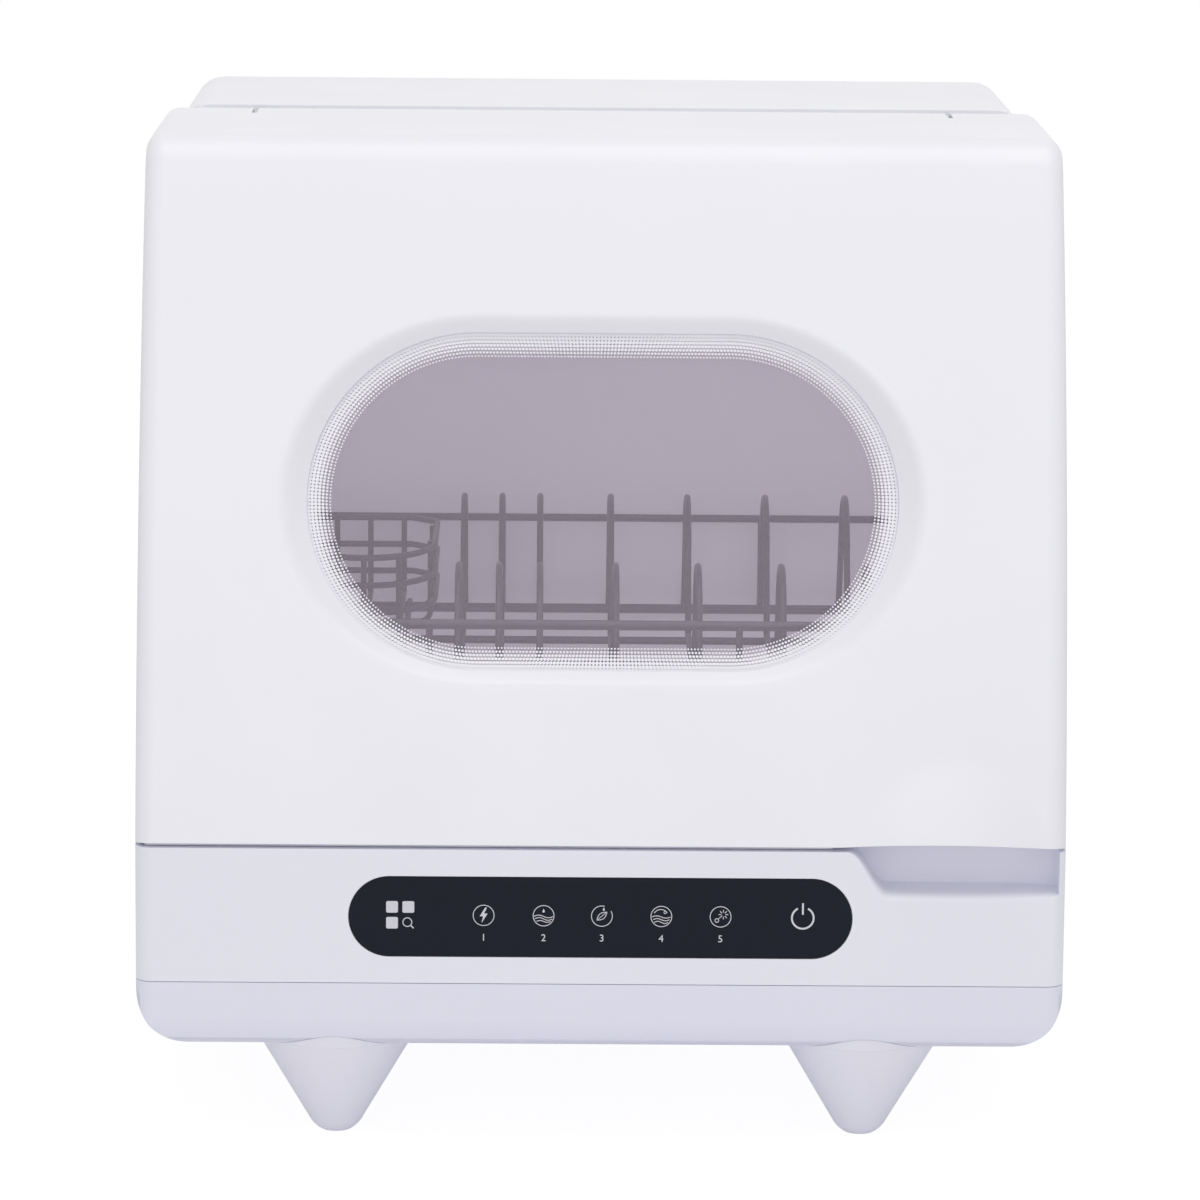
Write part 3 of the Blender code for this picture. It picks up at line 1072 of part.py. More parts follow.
def build_sump():
    """The sump bowl under the tub, with a port to each pump and one from the tank."""
    outer = SUMP_RADIUS + TUB_WALL
    taper = 0.004
    core = 0.0001
    sump = turned("sump",
                  [(SUMP_FLANGE, SUMP_TOP), (SUMP_FLANGE, SUMP_TOP - 0.003), (outer, SUMP_TOP - 0.003),
                   (outer - taper, SUMP_FLOOR), (core, SUMP_FLOOR), (core, SUMP_FLOOR + TUB_WALL),
                   (SUMP_RADIUS - taper, SUMP_FLOOR + TUB_WALL), (SUMP_RADIUS, SUMP_TOP)],
                  Matrix.Translation((0, SUMP_Y, 0)), parts, GREY_PP, 20)
    plug = drum("sump_plug", 0.004, TUB_WALL, along("Z", (0, SUMP_Y, SUMP_FLOOR)), sides=12)
    join(sump, plug)
    for label, frame in sump_ports():
        join(sump, drum(label + "_stub", HOSE_RADIUS, PORT_END - SUMP_RADIUS + 0.001, frame, sides=12))
    for label, frame in sump_ports():
        inward = frame @ Matrix.Translation((0, 0, -0.012))
        cut(sump, drum(label + "_stub_bore", HOSE_RADIUS - 0.002, 0.03, inward, sides=12))


def sump_ports():
    """Name and frame of each port on the sump, its Z axis pointing out."""
    start = SUMP_RADIUS - 0.001
    return (("wash", along("X", (-start, SUMP_Y, PORT_Z), -1)), ("drain", along("X", (start, SUMP_Y, PORT_Z))),
            ("tank", along("Y", (0, SUMP_Y + start, PORT_Z))))


def build_filter():
    """The lift-out filter: a slotted cup round the spindle, locked by a quarter turn."""
    base = SUMP_FLOOR + TUB_WALL + CLEARANCE
    top = base + FILTER_HEIGHT
    outer = FILTER_RADIUS - 0.0035
    wall = 0.0015
    sleeve = 0.011
    cup = turned("filter_cup",
                 [(outer, top), (outer - 0.001, base), (sleeve, base), (sleeve, base + 0.012),
                  (sleeve + wall, base + 0.012), (sleeve + wall, base + wall), (outer - wall - 0.001, base + wall),
                  (outer - wall, top)],
                 Matrix.Translation((0, SUMP_Y, 0)), parts, GREY_PP, 20)
    bars = 8
    for i in range(bars):
        angle = 2 * pi * (i + 0.5) / bars
        frame = Matrix.Translation((0, SUMP_Y, base + 0.006)) @ Matrix.Rotation(angle, 4, "Z")
        slot = extruded("filter_slot", [span(-0.003, 0.003, 0, FILTER_HEIGHT - 0.012, 0.0029, 1)],
                        outer - 0.006, outer + 0.003, frame @ FACE, cutters)
        cut(cup, slot)


def build_float():
    """Overflow float in its guide beside the sump."""
    guide_top = TUB_Z + TUB_WALL + CLEARANCE
    frame = Matrix.Translation((FLOAT_X, FLOAT_Y, 0))
    turned("float_guide",
           [(0.013, guide_top + 0.009), (0.013, guide_top), (0.0055, guide_top), (0.0055, guide_top + 0.0015),
            (0.0115, guide_top + 0.0015), (0.0115, guide_top + 0.009)],
           frame, parts, GREY_PP, 16)
    seat = guide_top + 0.0015 + CLEARANCE
    stem_end = TUB_Z - 0.014
    turned("float",
           [(0, seat + 0.014), (0.008, seat + 0.013), (0.0108, seat + 0.009), (0.0108, seat),
            (0.004, seat), (0.004, stem_end), (0, stem_end)],
           frame, parts, PALE_PP, 16)


def impeller(name, radius, height, blades, frame, finish=GREY_PP):
    """A pump wheel: a disc with back-swept blades round a shaft stub."""
    wheel = turned(name,
                   [(0, height + 0.002), (SHAFT_RADIUS + 0.003, height + 0.002), (SHAFT_RADIUS + 0.003, 0.002),
                    (radius, 0.002), (radius, 0), (0, 0)],
                   frame, parts, finish, 20)
    for i in range(blades):
        turn = 2 * pi * i / blades
        bow = radius * 0.62
        outer = arc((bow, 0), bow, pi * 0.9, pi * 0.42, 3)
        inner = arc((bow, 0), bow - 0.0013, pi * 0.42, pi * 0.9, 3)
        scale = (radius - 0.001) / max(hypot(x, y) for x, y in outer)
        blade = extruded(name + "_blade", [[(x * scale, y * scale) for x, y in outer + inner]], 0.001, height,
                         frame @ Matrix.Rotation(turn, 4, "Z"), cutters)
        join(wheel, blade)
    return wheel


def build_pumps():
    """Circulation pump and drain pump on the pan: motor, volute and wheel."""
    floor = PAN_FLOOR + CLEARANCE
    for label, side, radius, blades in (("wash_pump", -1, WASH_PUMP_RADIUS, 6),
                                        ("drain_pump", 1, DRAIN_PUMP_RADIUS, 5)):
        x = side * PUMP_REACH
        here = Matrix.Translation((x, SUMP_Y, 0))
        hole = SHAFT_RADIUS + CLEARANCE
        can = radius - 0.004
        turned(label + "_motor",
               [(can - 0.002, MOTOR_TOP), (can, MOTOR_TOP - 0.004), (can, floor + 0.003),
                (radius + 0.002, floor + 0.003), (radius + 0.002, floor), (hole, floor), (hole, MOTOR_TOP)],
               here, parts, COPPER_WINDING, 20)
        inside = radius - PUMP_WALL
        neck = HOSE_RADIUS
        housing = turned(label + "_housing",
                         [(radius, VOLUTE_TOP), (radius, VOLUTE_Z), (hole, VOLUTE_Z), (hole, VOLUTE_Z + PUMP_WALL),
                          (inside, VOLUTE_Z + PUMP_WALL), (inside, VOLUTE_TOP - PUMP_WALL),
                          (neck - 0.002, VOLUTE_TOP - PUMP_WALL), (neck - 0.002, VOLUTE_TOP + PUMP_NECK),
                          (neck, VOLUTE_TOP + PUMP_NECK), (neck, VOLUTE_TOP)],
                         here, parts, GREY_PP, 20)
        middle = VOLUTE_Z + VOLUTE_HEIGHT / 2
        spout = spout_x(side, radius)
        length = spout_y(radius) - SUMP_Y
        join(housing, drum(label + "_spout", SPOUT_RADIUS, length,
                           along("Y", (spout, SUMP_Y, middle)), sides=12))
        cut(housing, drum(label + "_core", inside - 0.0003, VOLUTE_HEIGHT - 2 * PUMP_WALL - 0.0004,
                          along("Z", (x, SUMP_Y, VOLUTE_Z + PUMP_WALL + 0.0002)), sides=20))
        cut(housing, drum(label + "_throat", SPOUT_RADIUS - PUMP_WALL, length + 0.01,
                          along("Y", (spout, SUMP_Y, middle)), sides=12))
        wheel_z = VOLUTE_Z + PUMP_WALL + 0.001
        wheel = impeller(label + "_impeller", inside - 0.003, 0.008, blades,
                         Matrix.Translation((x, SUMP_Y, wheel_z)))
        join(wheel, drum(label + "_shaft", SHAFT_RADIUS, wheel_z - floor,
                         along("Z", (x, SUMP_Y, floor + 0.001)), sides=12))


def spout_x(side, radius):
    """Middle of a pump's tangential spout, on its outer side."""
    return side * (PUMP_REACH + radius - SPOUT_RADIUS - PUMP_WALL)


def spout_y(radius):
    """Where a pump's spout ends."""
    return SUMP_Y + radius + 0.012


def build_water_tank():
    """Flat tank between the tub and the rear cover, with its filler hole and outlet."""
    low = DECK_Z + CLEARANCE
    tank = extruded("water_tank", [span(TANK_LEFT, TANK_RIGHT, TANK_FRONT, TANK_BACK, 0.008)],
                    low, TANK_TOP, PLAN, parts, PALE_PP)
    inner = span(TANK_LEFT + TANK_WALL, TANK_RIGHT - TANK_WALL, TANK_FRONT + TANK_WALL,
                 TANK_BACK - TANK_WALL, 0.006)
    cut(tank, extruded("tank_hollow", [inner], low + TANK_WALL, TANK_TOP - TANK_WALL, PLAN, cutters))
    bore = HOSE_RADIUS - 0.002
    cut(tank, drum("tank_filler", bore, 0.02, along("Z", (FILLER_X, TANK_Y, TANK_TOP - 0.01)), sides=20))
    cut(tank, drum("tank_outlet", bore, 0.02, along("Z", (TANK_HOSE_X, TANK_Y, low - 0.01)), sides=20))


def build_fan():
    """Drying fan behind the tub, blowing through a hole in its back wall."""
    frame = along("Y", (FAN_X, TUB_BACK + TUB_WALL + CLEARANCE, FAN_Z))
    wall = 0.0015
    hole = SHAFT_RADIUS + CLEARANCE
    housing = turned("fan_housing",
                     [(FAN_RADIUS, FAN_DEPTH), (FAN_RADIUS, 0), (FAN_EYE, 0), (FAN_EYE, wall),
                      (FAN_RADIUS - wall, wall), (FAN_RADIUS - wall, FAN_DEPTH - wall),
                      (hole, FAN_DEPTH - wall), (hole, FAN_DEPTH)],
                     frame, parts, GREY_PP, 20)
    for i in range(4):
        turn = Matrix.Rotation(pi * (i + 0.5) / 2, 4, "Z")
        port = extruded("fan_intake", [span(0.008, 0.02, -0.005, 0.005, 0.004, 1)], FAN_DEPTH - 0.004,
                        FAN_DEPTH + 0.004, frame @ turn, cutters)
        cut(housing, port)
    deep = wall + 0.001
    rotor = impeller("fan_rotor", FAN_RADIUS - wall - 0.002, 0.012, 7, frame @ Matrix.Translation((0, 0, deep)))
    join(rotor, drum("fan_shaft", SHAFT_RADIUS, FAN_DEPTH - deep - 0.001,
                     frame @ Matrix.Translation((0, 0, deep + 0.002)),
                     sides=12))


def hose(name, corners, radius, turn):
    """A hose or pipe through its corners, on one smooth route."""
    return wires(name, [bent(corners, turn, 4)], radius, resolution=1, finish=GREY_PP)


def build_hoses():
    """Pipes and hoses between sump, pumps, tank, spray arm and the rear connections."""
    drop = PORT_END + CLEARANCE
    neck = VOLUTE_TOP + PUMP_NECK + CLEARANCE
    middle = VOLUTE_Z + VOLUTE_HEIGHT / 2
    for label, side in (("wash_inlet_hose", -1), ("drain_inlet_hose", 1)):
        hose(label, [(side * drop, SUMP_Y, PORT_Z), (side * PUMP_REACH, SUMP_Y, PORT_Z),
                     (side * PUMP_REACH, SUMP_Y, neck)], HOSE_RADIUS, 0.012)
    wash_x, wash_y = spout_x(-1, WASH_PUMP_RADIUS), spout_y(WASH_PUMP_RADIUS) + CLEARANCE
    over = UPPER_PIPE_END + 0.012
    hose("spray_feed_pipe", [(wash_x, wash_y, middle), (wash_x, PIPE_Y - 0.02, middle), (0, PIPE_Y - 0.02, middle),
                             (0, PIPE_Y, middle + 0.03), (0, PIPE_Y, over), (0, UPPER_ARM_Y, over),
                             (0, UPPER_ARM_Y, UPPER_PIPE_END + CLEARANCE)], PIPE_RADIUS, 0.01)
    drain_x, drain_y = spout_x(1, DRAIN_PUMP_RADIUS), spout_y(DRAIN_PUMP_RADIUS) + CLEARANCE
    tail = BACK - WALL - SPIGOT_TAIL - CLEARANCE
    behind = TANK_Y - 0.006
    hose("drain_hose", [(drain_x, drain_y, middle), (DRAIN_X, behind, middle), (DRAIN_X, behind, SERVICE_Z),
                        (DRAIN_X, tail, SERVICE_Z)], SPOUT_RADIUS, 0.01)
    hose("fill_hose", [(INLET_X, tail, SERVICE_Z), (INLET_X, behind, SERVICE_Z), (INLET_X, behind, TANK_TOP + 0.025),
                       (FILLER_X, TANK_Y, TANK_TOP + 0.025), (FILLER_X, TANK_Y, TANK_TOP + CLEARANCE)],
         SPOUT_RADIUS, 0.01)
    hose("tank_hose", [(TANK_HOSE_X, TANK_Y, DECK_Z), (TANK_HOSE_X, TANK_Y, PORT_Z), (TANK_HOSE_X, 0.09, PORT_Z),
                       (0, 0.09, PORT_Z), (0, SUMP_Y + drop, PORT_Z)], HOSE_RADIUS, 0.015)


def build_services():
    """Rear connections and the power board on the left side panel."""
    inner = BACK - WALL
    for name, x, z, radius in service_ports():
        water = name != "cord_inlet"
        reach = SPIGOT_REACH if water else 0.0015
        bore = SPIGOT_BORE if water else 0.0035
        turned(name,
               [(radius, reach + WALL), (radius, -CLEARANCE), (radius + 0.004, -CLEARANCE),
                (radius + 0.004, -0.004), (radius - 0.001, -0.004), (radius - 0.001, -SPIGOT_TAIL),
                (bore, -SPIGOT_TAIL), (bore, reach + WALL)],
               along("Y", (x, inner, z)), parts, GREY_PP, 14)
    face = -BODY_HALF_WIDTH + WALL + CLEARANCE
    board = box("power_board", (face, -0.02, 0.2), (face + BOARD_THICKNESS, 0.1, 0.3), parts, BOARD_GREEN)
    top = face + BOARD_THICKNESS - 0.0001
    # Relay, capacitor, heat sink and terminal block: y from and to, z from and to, height
    for low_y, high_y, low_z, high_z, tall in ((0.06, 0.09, 0.26, 0.29, 0.018), (0.0, 0.04, 0.265, 0.285, 0.012),
                                               (0.0, 0.012, 0.215, 0.245, 0.014), (0.05, 0.085, 0.21, 0.23, 0.01)):
        join(board, box("board_block", (top, low_y, low_z), (top + tall, high_y, high_z), cutters))


def build_hinges():
    """Bracket, pin and arm on each side."""
    hub = HINGE_HUB_RADIUS
    for side, label in ((-1, "left"), (1, "right")):
        inner, outer = HINGE_X - SHEET / 2, HINGE_X + SHEET / 2
        foot_z = TUB_TOP + CLEARANCE
        foot_front, foot_back = HINGE_Y + 0.012, HINGE_Y + 0.05
        ear = arc((HINGE_Y, HINGE_Z), hub, pi * 1.12, -pi * 0.2, 9)
        outline = ear + [(COVER_FRONT - 0.001, COVER_Z - 0.004), (foot_back - 0.01, foot_z + SHEET + 0.002),
                         (foot_back, foot_z), (foot_front, foot_z)]
        low, high = sorted((side * inner, side * outer))
        bracket = extruded(label + "_hinge_bracket", [outline], low, high, SIDE, parts, STEEL)
        x_low, x_high = sorted((side * (outer - 0.0001), side * (inner - 0.018)))
        foot = box("bracket_foot", (x_low, foot_front + 0.004, foot_z), (x_high, foot_back, foot_z + SHEET), cutters)
        join(bracket, foot)
        pin_hole = drum("ear_hole", HINGE_PIN_RADIUS + CLEARANCE, 0.04,
                        along("X", (side * HINGE_X - 0.02, HINGE_Y, HINGE_Z)), sides=12)
        cut(bracket, pin_hole)

        arm_low, arm_high = sorted((side * (outer + CLEARANCE), side * (outer + CLEARANCE + 0.0025)))
        plate_z = TOP_Z - WALL - CLEARANCE
        eye = arc((HINGE_Y, HINGE_Z), hub, pi / 2, -0.85 * pi, 12)
        arm_line = eye + [(HINGE_Y - 0.02, HINGE_Z + 0.004), (HINGE_Y - HINGE_ARM_REACH, plate_z - 0.008),
                          (HINGE_Y - HINGE_ARM_REACH, plate_z), (HINGE_Y - 0.012, plate_z)]
        arm = extruded(label + "_hinge_arm", [arm_line], arm_low, arm_high, SIDE, parts, STEEL)
        flange_low, flange_high = sorted((side * (outer + CLEARANCE), side * (outer + 0.016)))
        flange = box("arm_flange", (flange_low, HINGE_Y - HINGE_ARM_REACH, plate_z - SHEET),
                     (flange_high, HINGE_Y - 0.018, plate_z), cutters)
        join(arm, flange)
        eye_hole = drum("eye_hole", HINGE_PIN_RADIUS + CLEARANCE, 0.04,
                        along("X", (side * HINGE_X - 0.02, HINGE_Y, HINGE_Z)), sides=12)
        cut(arm, eye_hole)
        start = inner - 0.003
        turned(label + "_hinge_pin",
               [(0, outer + 0.006), (0.004, outer + 0.0055), (0.004, outer + 0.0035), (HINGE_PIN_RADIUS, outer + 0.0035),
                (HINGE_PIN_RADIUS, start), (0, start)],
               Matrix.Translation((0, HINGE_Y, HINGE_Z)) @ along("X", (0, 0, 0), side), parts, STEEL, 12)


build_base()
build_body()
build_tub()
build_door()
build_hinges()
build_rack()
build_wash_system()
build_hoses()
build_services()

hinge_line = (0, HINGE_Y, HINGE_Z)
pivot(["door_shell", "door_liner", "window_glass", "window_gasket", "left_hinge_arm", "right_hinge_arm"],
      hinge_line, "door_axis")
pivot(["dish_rack", "cutlery_basket"], (0, 0, RAIL_Z), "rack_axis")
pivot(["lower_spray_arm"], (0, SUMP_Y, LOWER_ARM_HEIGHT), "lower_arm_axis")
pivot(["upper_spray_arm"], (0, UPPER_ARM_Y, UPPER_ARM_HEIGHT), "upper_arm_axis")
pivot(["filter_cup"], (0, SUMP_Y, SUMP_FLOOR), "filter_axis")
pivot(["float"], (FLOAT_X, FLOAT_Y, TUB_Z), "float_axis")
pivot(["wash_pump_impeller"], (-PUMP_REACH, SUMP_Y, VOLUTE_Z), "wash_pump_axis")
pivot(["drain_pump_impeller"], (PUMP_REACH, SUMP_Y, VOLUTE_Z), "drain_pump_axis")
pivot(["fan_rotor"], (FAN_X, TUB_BACK, FAN_Z), "fan_axis")
bpy.context.view_layer.update()
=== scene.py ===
"""Looks of a countertop dishwasher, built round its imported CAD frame.

Metres, +Z up, the front faces -Y. Each class dresses one sub-assembly: it replaces the CAD nodes
whose faces have to be smooth and gives every piece the finish of the real material.
"""
from __future__ import annotations

import json
import logging
from collections.abc import Callable, Iterable, Sequence
from dataclasses import dataclass, field
from enum import Enum
from math import acos, asin, cos, hypot, pi, radians, sin, tan

import bmesh
import bpy
from mathutils import Matrix, Vector

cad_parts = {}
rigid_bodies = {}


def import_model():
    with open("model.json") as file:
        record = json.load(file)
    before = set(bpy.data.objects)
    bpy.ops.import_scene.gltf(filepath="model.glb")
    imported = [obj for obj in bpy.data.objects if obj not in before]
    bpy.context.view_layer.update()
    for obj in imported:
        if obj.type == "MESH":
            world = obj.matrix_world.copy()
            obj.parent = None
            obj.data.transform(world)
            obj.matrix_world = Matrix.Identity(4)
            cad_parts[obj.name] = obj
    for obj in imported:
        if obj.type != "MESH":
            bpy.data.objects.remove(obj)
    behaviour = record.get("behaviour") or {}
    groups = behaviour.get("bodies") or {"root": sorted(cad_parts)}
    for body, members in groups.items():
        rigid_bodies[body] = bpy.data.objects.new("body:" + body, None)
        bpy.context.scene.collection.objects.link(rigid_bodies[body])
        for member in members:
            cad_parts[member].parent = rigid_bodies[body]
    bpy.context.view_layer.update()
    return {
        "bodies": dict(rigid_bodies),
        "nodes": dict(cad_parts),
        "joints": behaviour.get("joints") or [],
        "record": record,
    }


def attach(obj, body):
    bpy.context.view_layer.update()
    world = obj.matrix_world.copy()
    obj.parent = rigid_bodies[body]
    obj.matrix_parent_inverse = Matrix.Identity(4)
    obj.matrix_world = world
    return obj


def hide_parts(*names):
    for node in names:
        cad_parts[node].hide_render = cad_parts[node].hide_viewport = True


LOG = logging.getLogger("dishwasher")
Point = tuple[float, float]
Point3 = tuple[float, float, float]

# Sizes that several sub-assemblies share
GAP = 0.0003              # clearance between pieces
WALL = 0.0025             # moulded walls
HALF_WIDTH = 0.2005       # door and base
BODY_HALF_WIDTH = 0.1955  # narrower body behind the door
CORNER = 0.008            # upright corners of door, pan and housing
FRONT = -0.2
BACK = 0.195
PAN_Z = 0.045             # underside of the pan
SEAM_Z = 0.0746           # seam between pan and housing
DECK_Z = 0.1338           # top of the housing
DOOR_Z = 0.1358           # lower edge of the door
TOP_Z = 0.4318
HINGE_Y = 0.016
HINGE_Z = 0.4148
HINGE_X = 0.158
COVER_Z = 0.4048          # lower edge of the top cover
MOUTH_TILT = radians(34)  # lean of the tub's mouth from upright
PANEL_HALF_LENGTH = 0.1083
PANEL_HALF_HEIGHT = 0.0175
PANEL_Z = 0.1043


def sloped_frame(tilt: float, origin: Point3) -> Matrix:
    """Matrix of a plane that leans back.

    Args:
        tilt: angle from upright, in radians.
        origin: the plane's origin in the row frame.

    Returns:
        X across, Y up the plane, Z out of it to the front.
    """
    turn = Matrix(((1, 0, 0, 0), (0, sin(tilt), -cos(tilt), 0), (0, cos(tilt), sin(tilt), 0), (0, 0, 0, 1)))
    return Matrix.Translation(origin) @ turn


PLAN = Matrix()
SIDE = Matrix(((0, 0, 1, 0), (1, 0, 0, 0), (0, 1, 0, 0), (0, 0, 0, 1)))
FACE = Matrix(((1, 0, 0, 0), (0, 0, -1, 0), (0, 1, 0, 0), (0, 0, 0, 1)))
MOUTH = sloped_frame(MOUTH_TILT, (0, 0, 0))


def linear(hex_colour: str) -> tuple[float, float, float, float]:
    """An sRGB hex colour as linear RGBA."""
    channels = [int(hex_colour[i:i + 2], 16) / 255 for i in (1, 3, 5)]
    flat = [c / 12.92 if c <= 0.04045 else ((c + 0.055) / 1.055) ** 2.4 for c in channels]
    return flat[0], flat[1], flat[2], 1.0


def add_node(tree: bpy.types.NodeTree, kind: str, inputs: dict | None = None, **settings: object) -> bpy.types.Node:
    """Add a node to a tree.

    Args:
        tree: a material's, world's or geometry tree.
        kind: the node's type name.
        inputs: socket name or index to a value, or to the output socket that feeds it.
        settings: properties of the node.

    Returns:
        The node.
    """
    node = tree.nodes.new(kind)
    for name, value in settings.items():
        setattr(node, name, value)
    for key, value in (inputs or {}).items():
        if isinstance(value, bpy.types.NodeSocket):
            tree.links.new(value, node.inputs[key])
        else:
            node.inputs[key].default_value = value
    return node


class Pattern(Enum):
    """How a surface was made, which sets its bump and its variation."""

    MOULDED = "moulded"
    POLISHED = "polished"
    DRAWN = "drawn"
    DIPPED = "dipped"
    PRINTED = "printed"


@dataclass(frozen=True)
class Finish:
    """A real material and the way its surface was made.

    Attributes:
        name: the material's common name.
        colour: sRGB hex of the clean surface.
        shade: sRGB hex that the colour drifts to in slow patches.
        slot: the record's material slot; not used.
        roughness: middle value, spread over plus or minus a tenth.
        pattern: the surface's making.
        grain_mm: size of the grain in millimetres.
        relief_mm: height of the grain in millimetres.
        alpha: share of the light that a pane stops.
        specular: mirror share, below 0.5 for an anti-glare surface.
        glow: strength of a painted glow that the surface gives off in its own colour, though it is no lamp.
    """

    name: str
    colour: str
    shade: str
    slot: str
    roughness: float = 0.4
    metallic: float = 0.0
    ior: float = 1.5
    pattern: Pattern = Pattern.MOULDED
    grain_mm: float = 0.9
    relief_mm: float = 0.004
    alpha: float = 1.0
    specular: float = 0.5
    glow: float = 0.0

    def material(self) -> bpy.types.Material:
        """The finish as a node material, made once."""
        known = bpy.data.materials.get(self.name)
        if known is not None:
            return known
        made = bpy.data.materials.new(self.name)
        made.use_nodes = True
        tree = made.node_tree
        shader = tree.nodes["Principled BSDF"]
        for socket, value in (("Metallic", self.metallic), ("Alpha", self.alpha),
                              ("Specular IOR Level", self.specular)):
            shader.inputs[socket].default_value = value
        if not self.metallic:
            shader.inputs["IOR"].default_value = self.ior
        if self.glow:
            # Painted light: the surface glows in its own colour, though it is no lamp
            shader.inputs["Emission Color"].default_value = linear(self.colour)
            shader.inputs["Emission Strength"].default_value = self.glow
        place = add_node(tree, "ShaderNodeTexCoord").outputs["Object"]
        if self.pattern is Pattern.DRAWN:
            # Drawing and rolling leave scratches along the part, ten times as long as they are wide
            place = add_node(tree, "ShaderNodeMapping", {"Vector": place, "Scale": (1, 0.1, 1)}).outputs[0]
        drift = add_node(tree, "ShaderNodeTexNoise", {"Vector": place, "Scale": 14, "Detail": 3, "Roughness": 0.45})
        tone = add_node(tree, "ShaderNodeMix", {0: drift.outputs[0], 6: linear(self.colour), 7: linear(self.shade)},
                        data_type="RGBA")
        tree.links.new(tone.outputs[2], shader.inputs["Base Color"])
        grain = add_node(tree, "ShaderNodeTexNoise",
                         {"Vector": place, "Scale": 1000 / self.grain_mm, "Detail": 2, "Roughness": 0.6})
        spread = add_node(tree, "ShaderNodeMapRange",
                          {0: drift.outputs[0], 1: 0.3, 2: 0.7, 3: self.roughness * 0.9, 4: self.roughness * 1.1})
        tree.links.new(spread.outputs[0], shader.inputs["Roughness"])
        if self.pattern not in (Pattern.POLISHED, Pattern.PRINTED):
            bump = add_node(tree, "ShaderNodeBump", {"Strength": 0.35, "Distance": self.relief_mm / 1000,
                                                     "Height": grain.outputs[0]})
            tree.links.new(bump.outputs[0], shader.inputs["Normal"])
        return made


# Glossy white ABS, injection moulded: even satin gloss with a faint waviness
WHITE_ABS = Finish("moulded_white_abs", "#F0F0F5", "#EDEDF3", "white_abs", 0.34, grain_mm=1.6, relief_mm=0.003)
# Housing, pan and feet: white ABS a shade deeper than the door's each, which is painted shade for the lower parts
# that get less of the light from above
BASE_ABS_PAINTED_SHADE = Finish("moulded_white_abs_with_painted_shade", "#ECECF5", "#E9E9F3", "white_abs", 0.36, grain_mm=1.6, relief_mm=0.003)
PAN_ABS_PAINTED_SHADE = Finish("moulded_pan_abs_with_painted_shade", "#E6E6F3", "#E3E3F1", "white_abs", 0.38, grain_mm=1.6, relief_mm=0.003)
FOOT_ABS_PAINTED_SHADE = Finish("moulded_foot_abs_with_painted_shade", "#EAE9F2", "#E6E5EF", "foot_plastic", 0.4, grain_mm=1.2)
# Polypropylene is waxy: less gloss than ABS; the tub also has a painted glow that brightens the inside behind the
# window
TUB_PP = Finish("moulded_pale_polypropylene", "#F4EFF6", "#F0EBF3", "tub_plastic", 0.45, grain_mm=1.4,
                glow=0.105)
LINER_PP = Finish("moulded_liner_polypropylene", "#F3F0F5", "#EFECF2", "pale_polypropylene", 0.45, grain_mm=1.4)
# Glass fibre in the polypropylene of pumps and arms dulls it and shows as a coarse grain
GREY_PP = Finish("glass_filled_grey_polypropylene", "#9A99A1", "#8E8D96", "grey_polypropylene", 0.5, grain_mm=0.7,
                 relief_mm=0.01)
# Clear acrylic printed black from behind, with an anti-glare front: a soft mirror over near-black
BLACK_PMMA = Finish("back_printed_black_acrylic", "#1E222C", "#1B1F29", "panel_black", 0.2, ior=1.49,
                    pattern=Pattern.POLISHED, specular=0.1)
# Screen ink lies flat and dull on the acrylic, and fired enamel on the glass
PANEL_INK = Finish("white_screen_ink", "#D6D6DC", "#CFCFD6", "panel_black", 0.5, pattern=Pattern.PRINTED)
FRIT = Finish("white_ceramic_frit", "#F4F3F8", "#EFEEF4", "window_glass", 0.35, pattern=Pattern.PRINTED)
# Toughened glass with a faint lilac tint: polished, and it stops a small share of the light
FLOAT_GLASS = Finish("toughened_float_glass", "#DCD1E3", "#D8CDDF", "window_glass", 0.04, ior=1.52,
                     pattern=Pattern.POLISHED, alpha=0.15, specular=0.2)
# Soft seals and hoses: dull rubber with a fine grain
SILICONE = Finish("moulded_silicone_rubber", "#A8A7AE", "#9D9CA4", "seal_rubber", 0.65, grain_mm=0.5, relief_mm=0.01)
EPDM = Finish("extruded_epdm_rubber", "#3A3A3F", "#333338", "hose_rubber", 0.6, grain_mm=0.6, relief_mm=0.02)
# Rolled sheet and drawn tube, with fine scratches along the part
STAINLESS = Finish("cold_rolled_stainless_steel", "#C4C5C9", "#B6B7BC", "steel", 0.28, metallic=1.0,
                   pattern=Pattern.DRAWN, grain_mm=0.4, relief_mm=0.003)
# Nylon dip coating on steel wire: even dark grey, slightly beaded
NYLON_WIRE = Finish("nylon_dipped_steel_wire", "#4A4650", "#434049", "coated_wire", 0.38, pattern=Pattern.DIPPED,
                    grain_mm=1.5, relief_mm=0.006)
# Motor windings: bright copper under amber enamel
WINDING = Finish("enamelled_copper_winding", "#8A4B24", "#70391A", "motor_winding", 0.35, metallic=0.8,
                 pattern=Pattern.DRAWN, grain_mm=0.5, relief_mm=0.05)
# Glass-fibre board under green solder mask, and zinc plate on the screws
FR4 = Finish("glass_epoxy_board", "#1F5B34", "#1A4F2D", "circuit_board", 0.45, grain_mm=0.5)
ZINC = Finish("zinc_plated_steel", "#B9BCC2", "#A9ACB3", "steel", 0.32, metallic=1.0, grain_mm=0.5)


def arc(centre: Point, radius: float, start: float, end: float, steps: int) -> list[Point]:
    """Points of a circular arc, both ends included."""
    turn = (end - start) / steps
    return [(centre[0] + radius * cos(start + turn * i), centre[1] + radius * sin(start + turn * i))
            for i in range(steps + 1)]


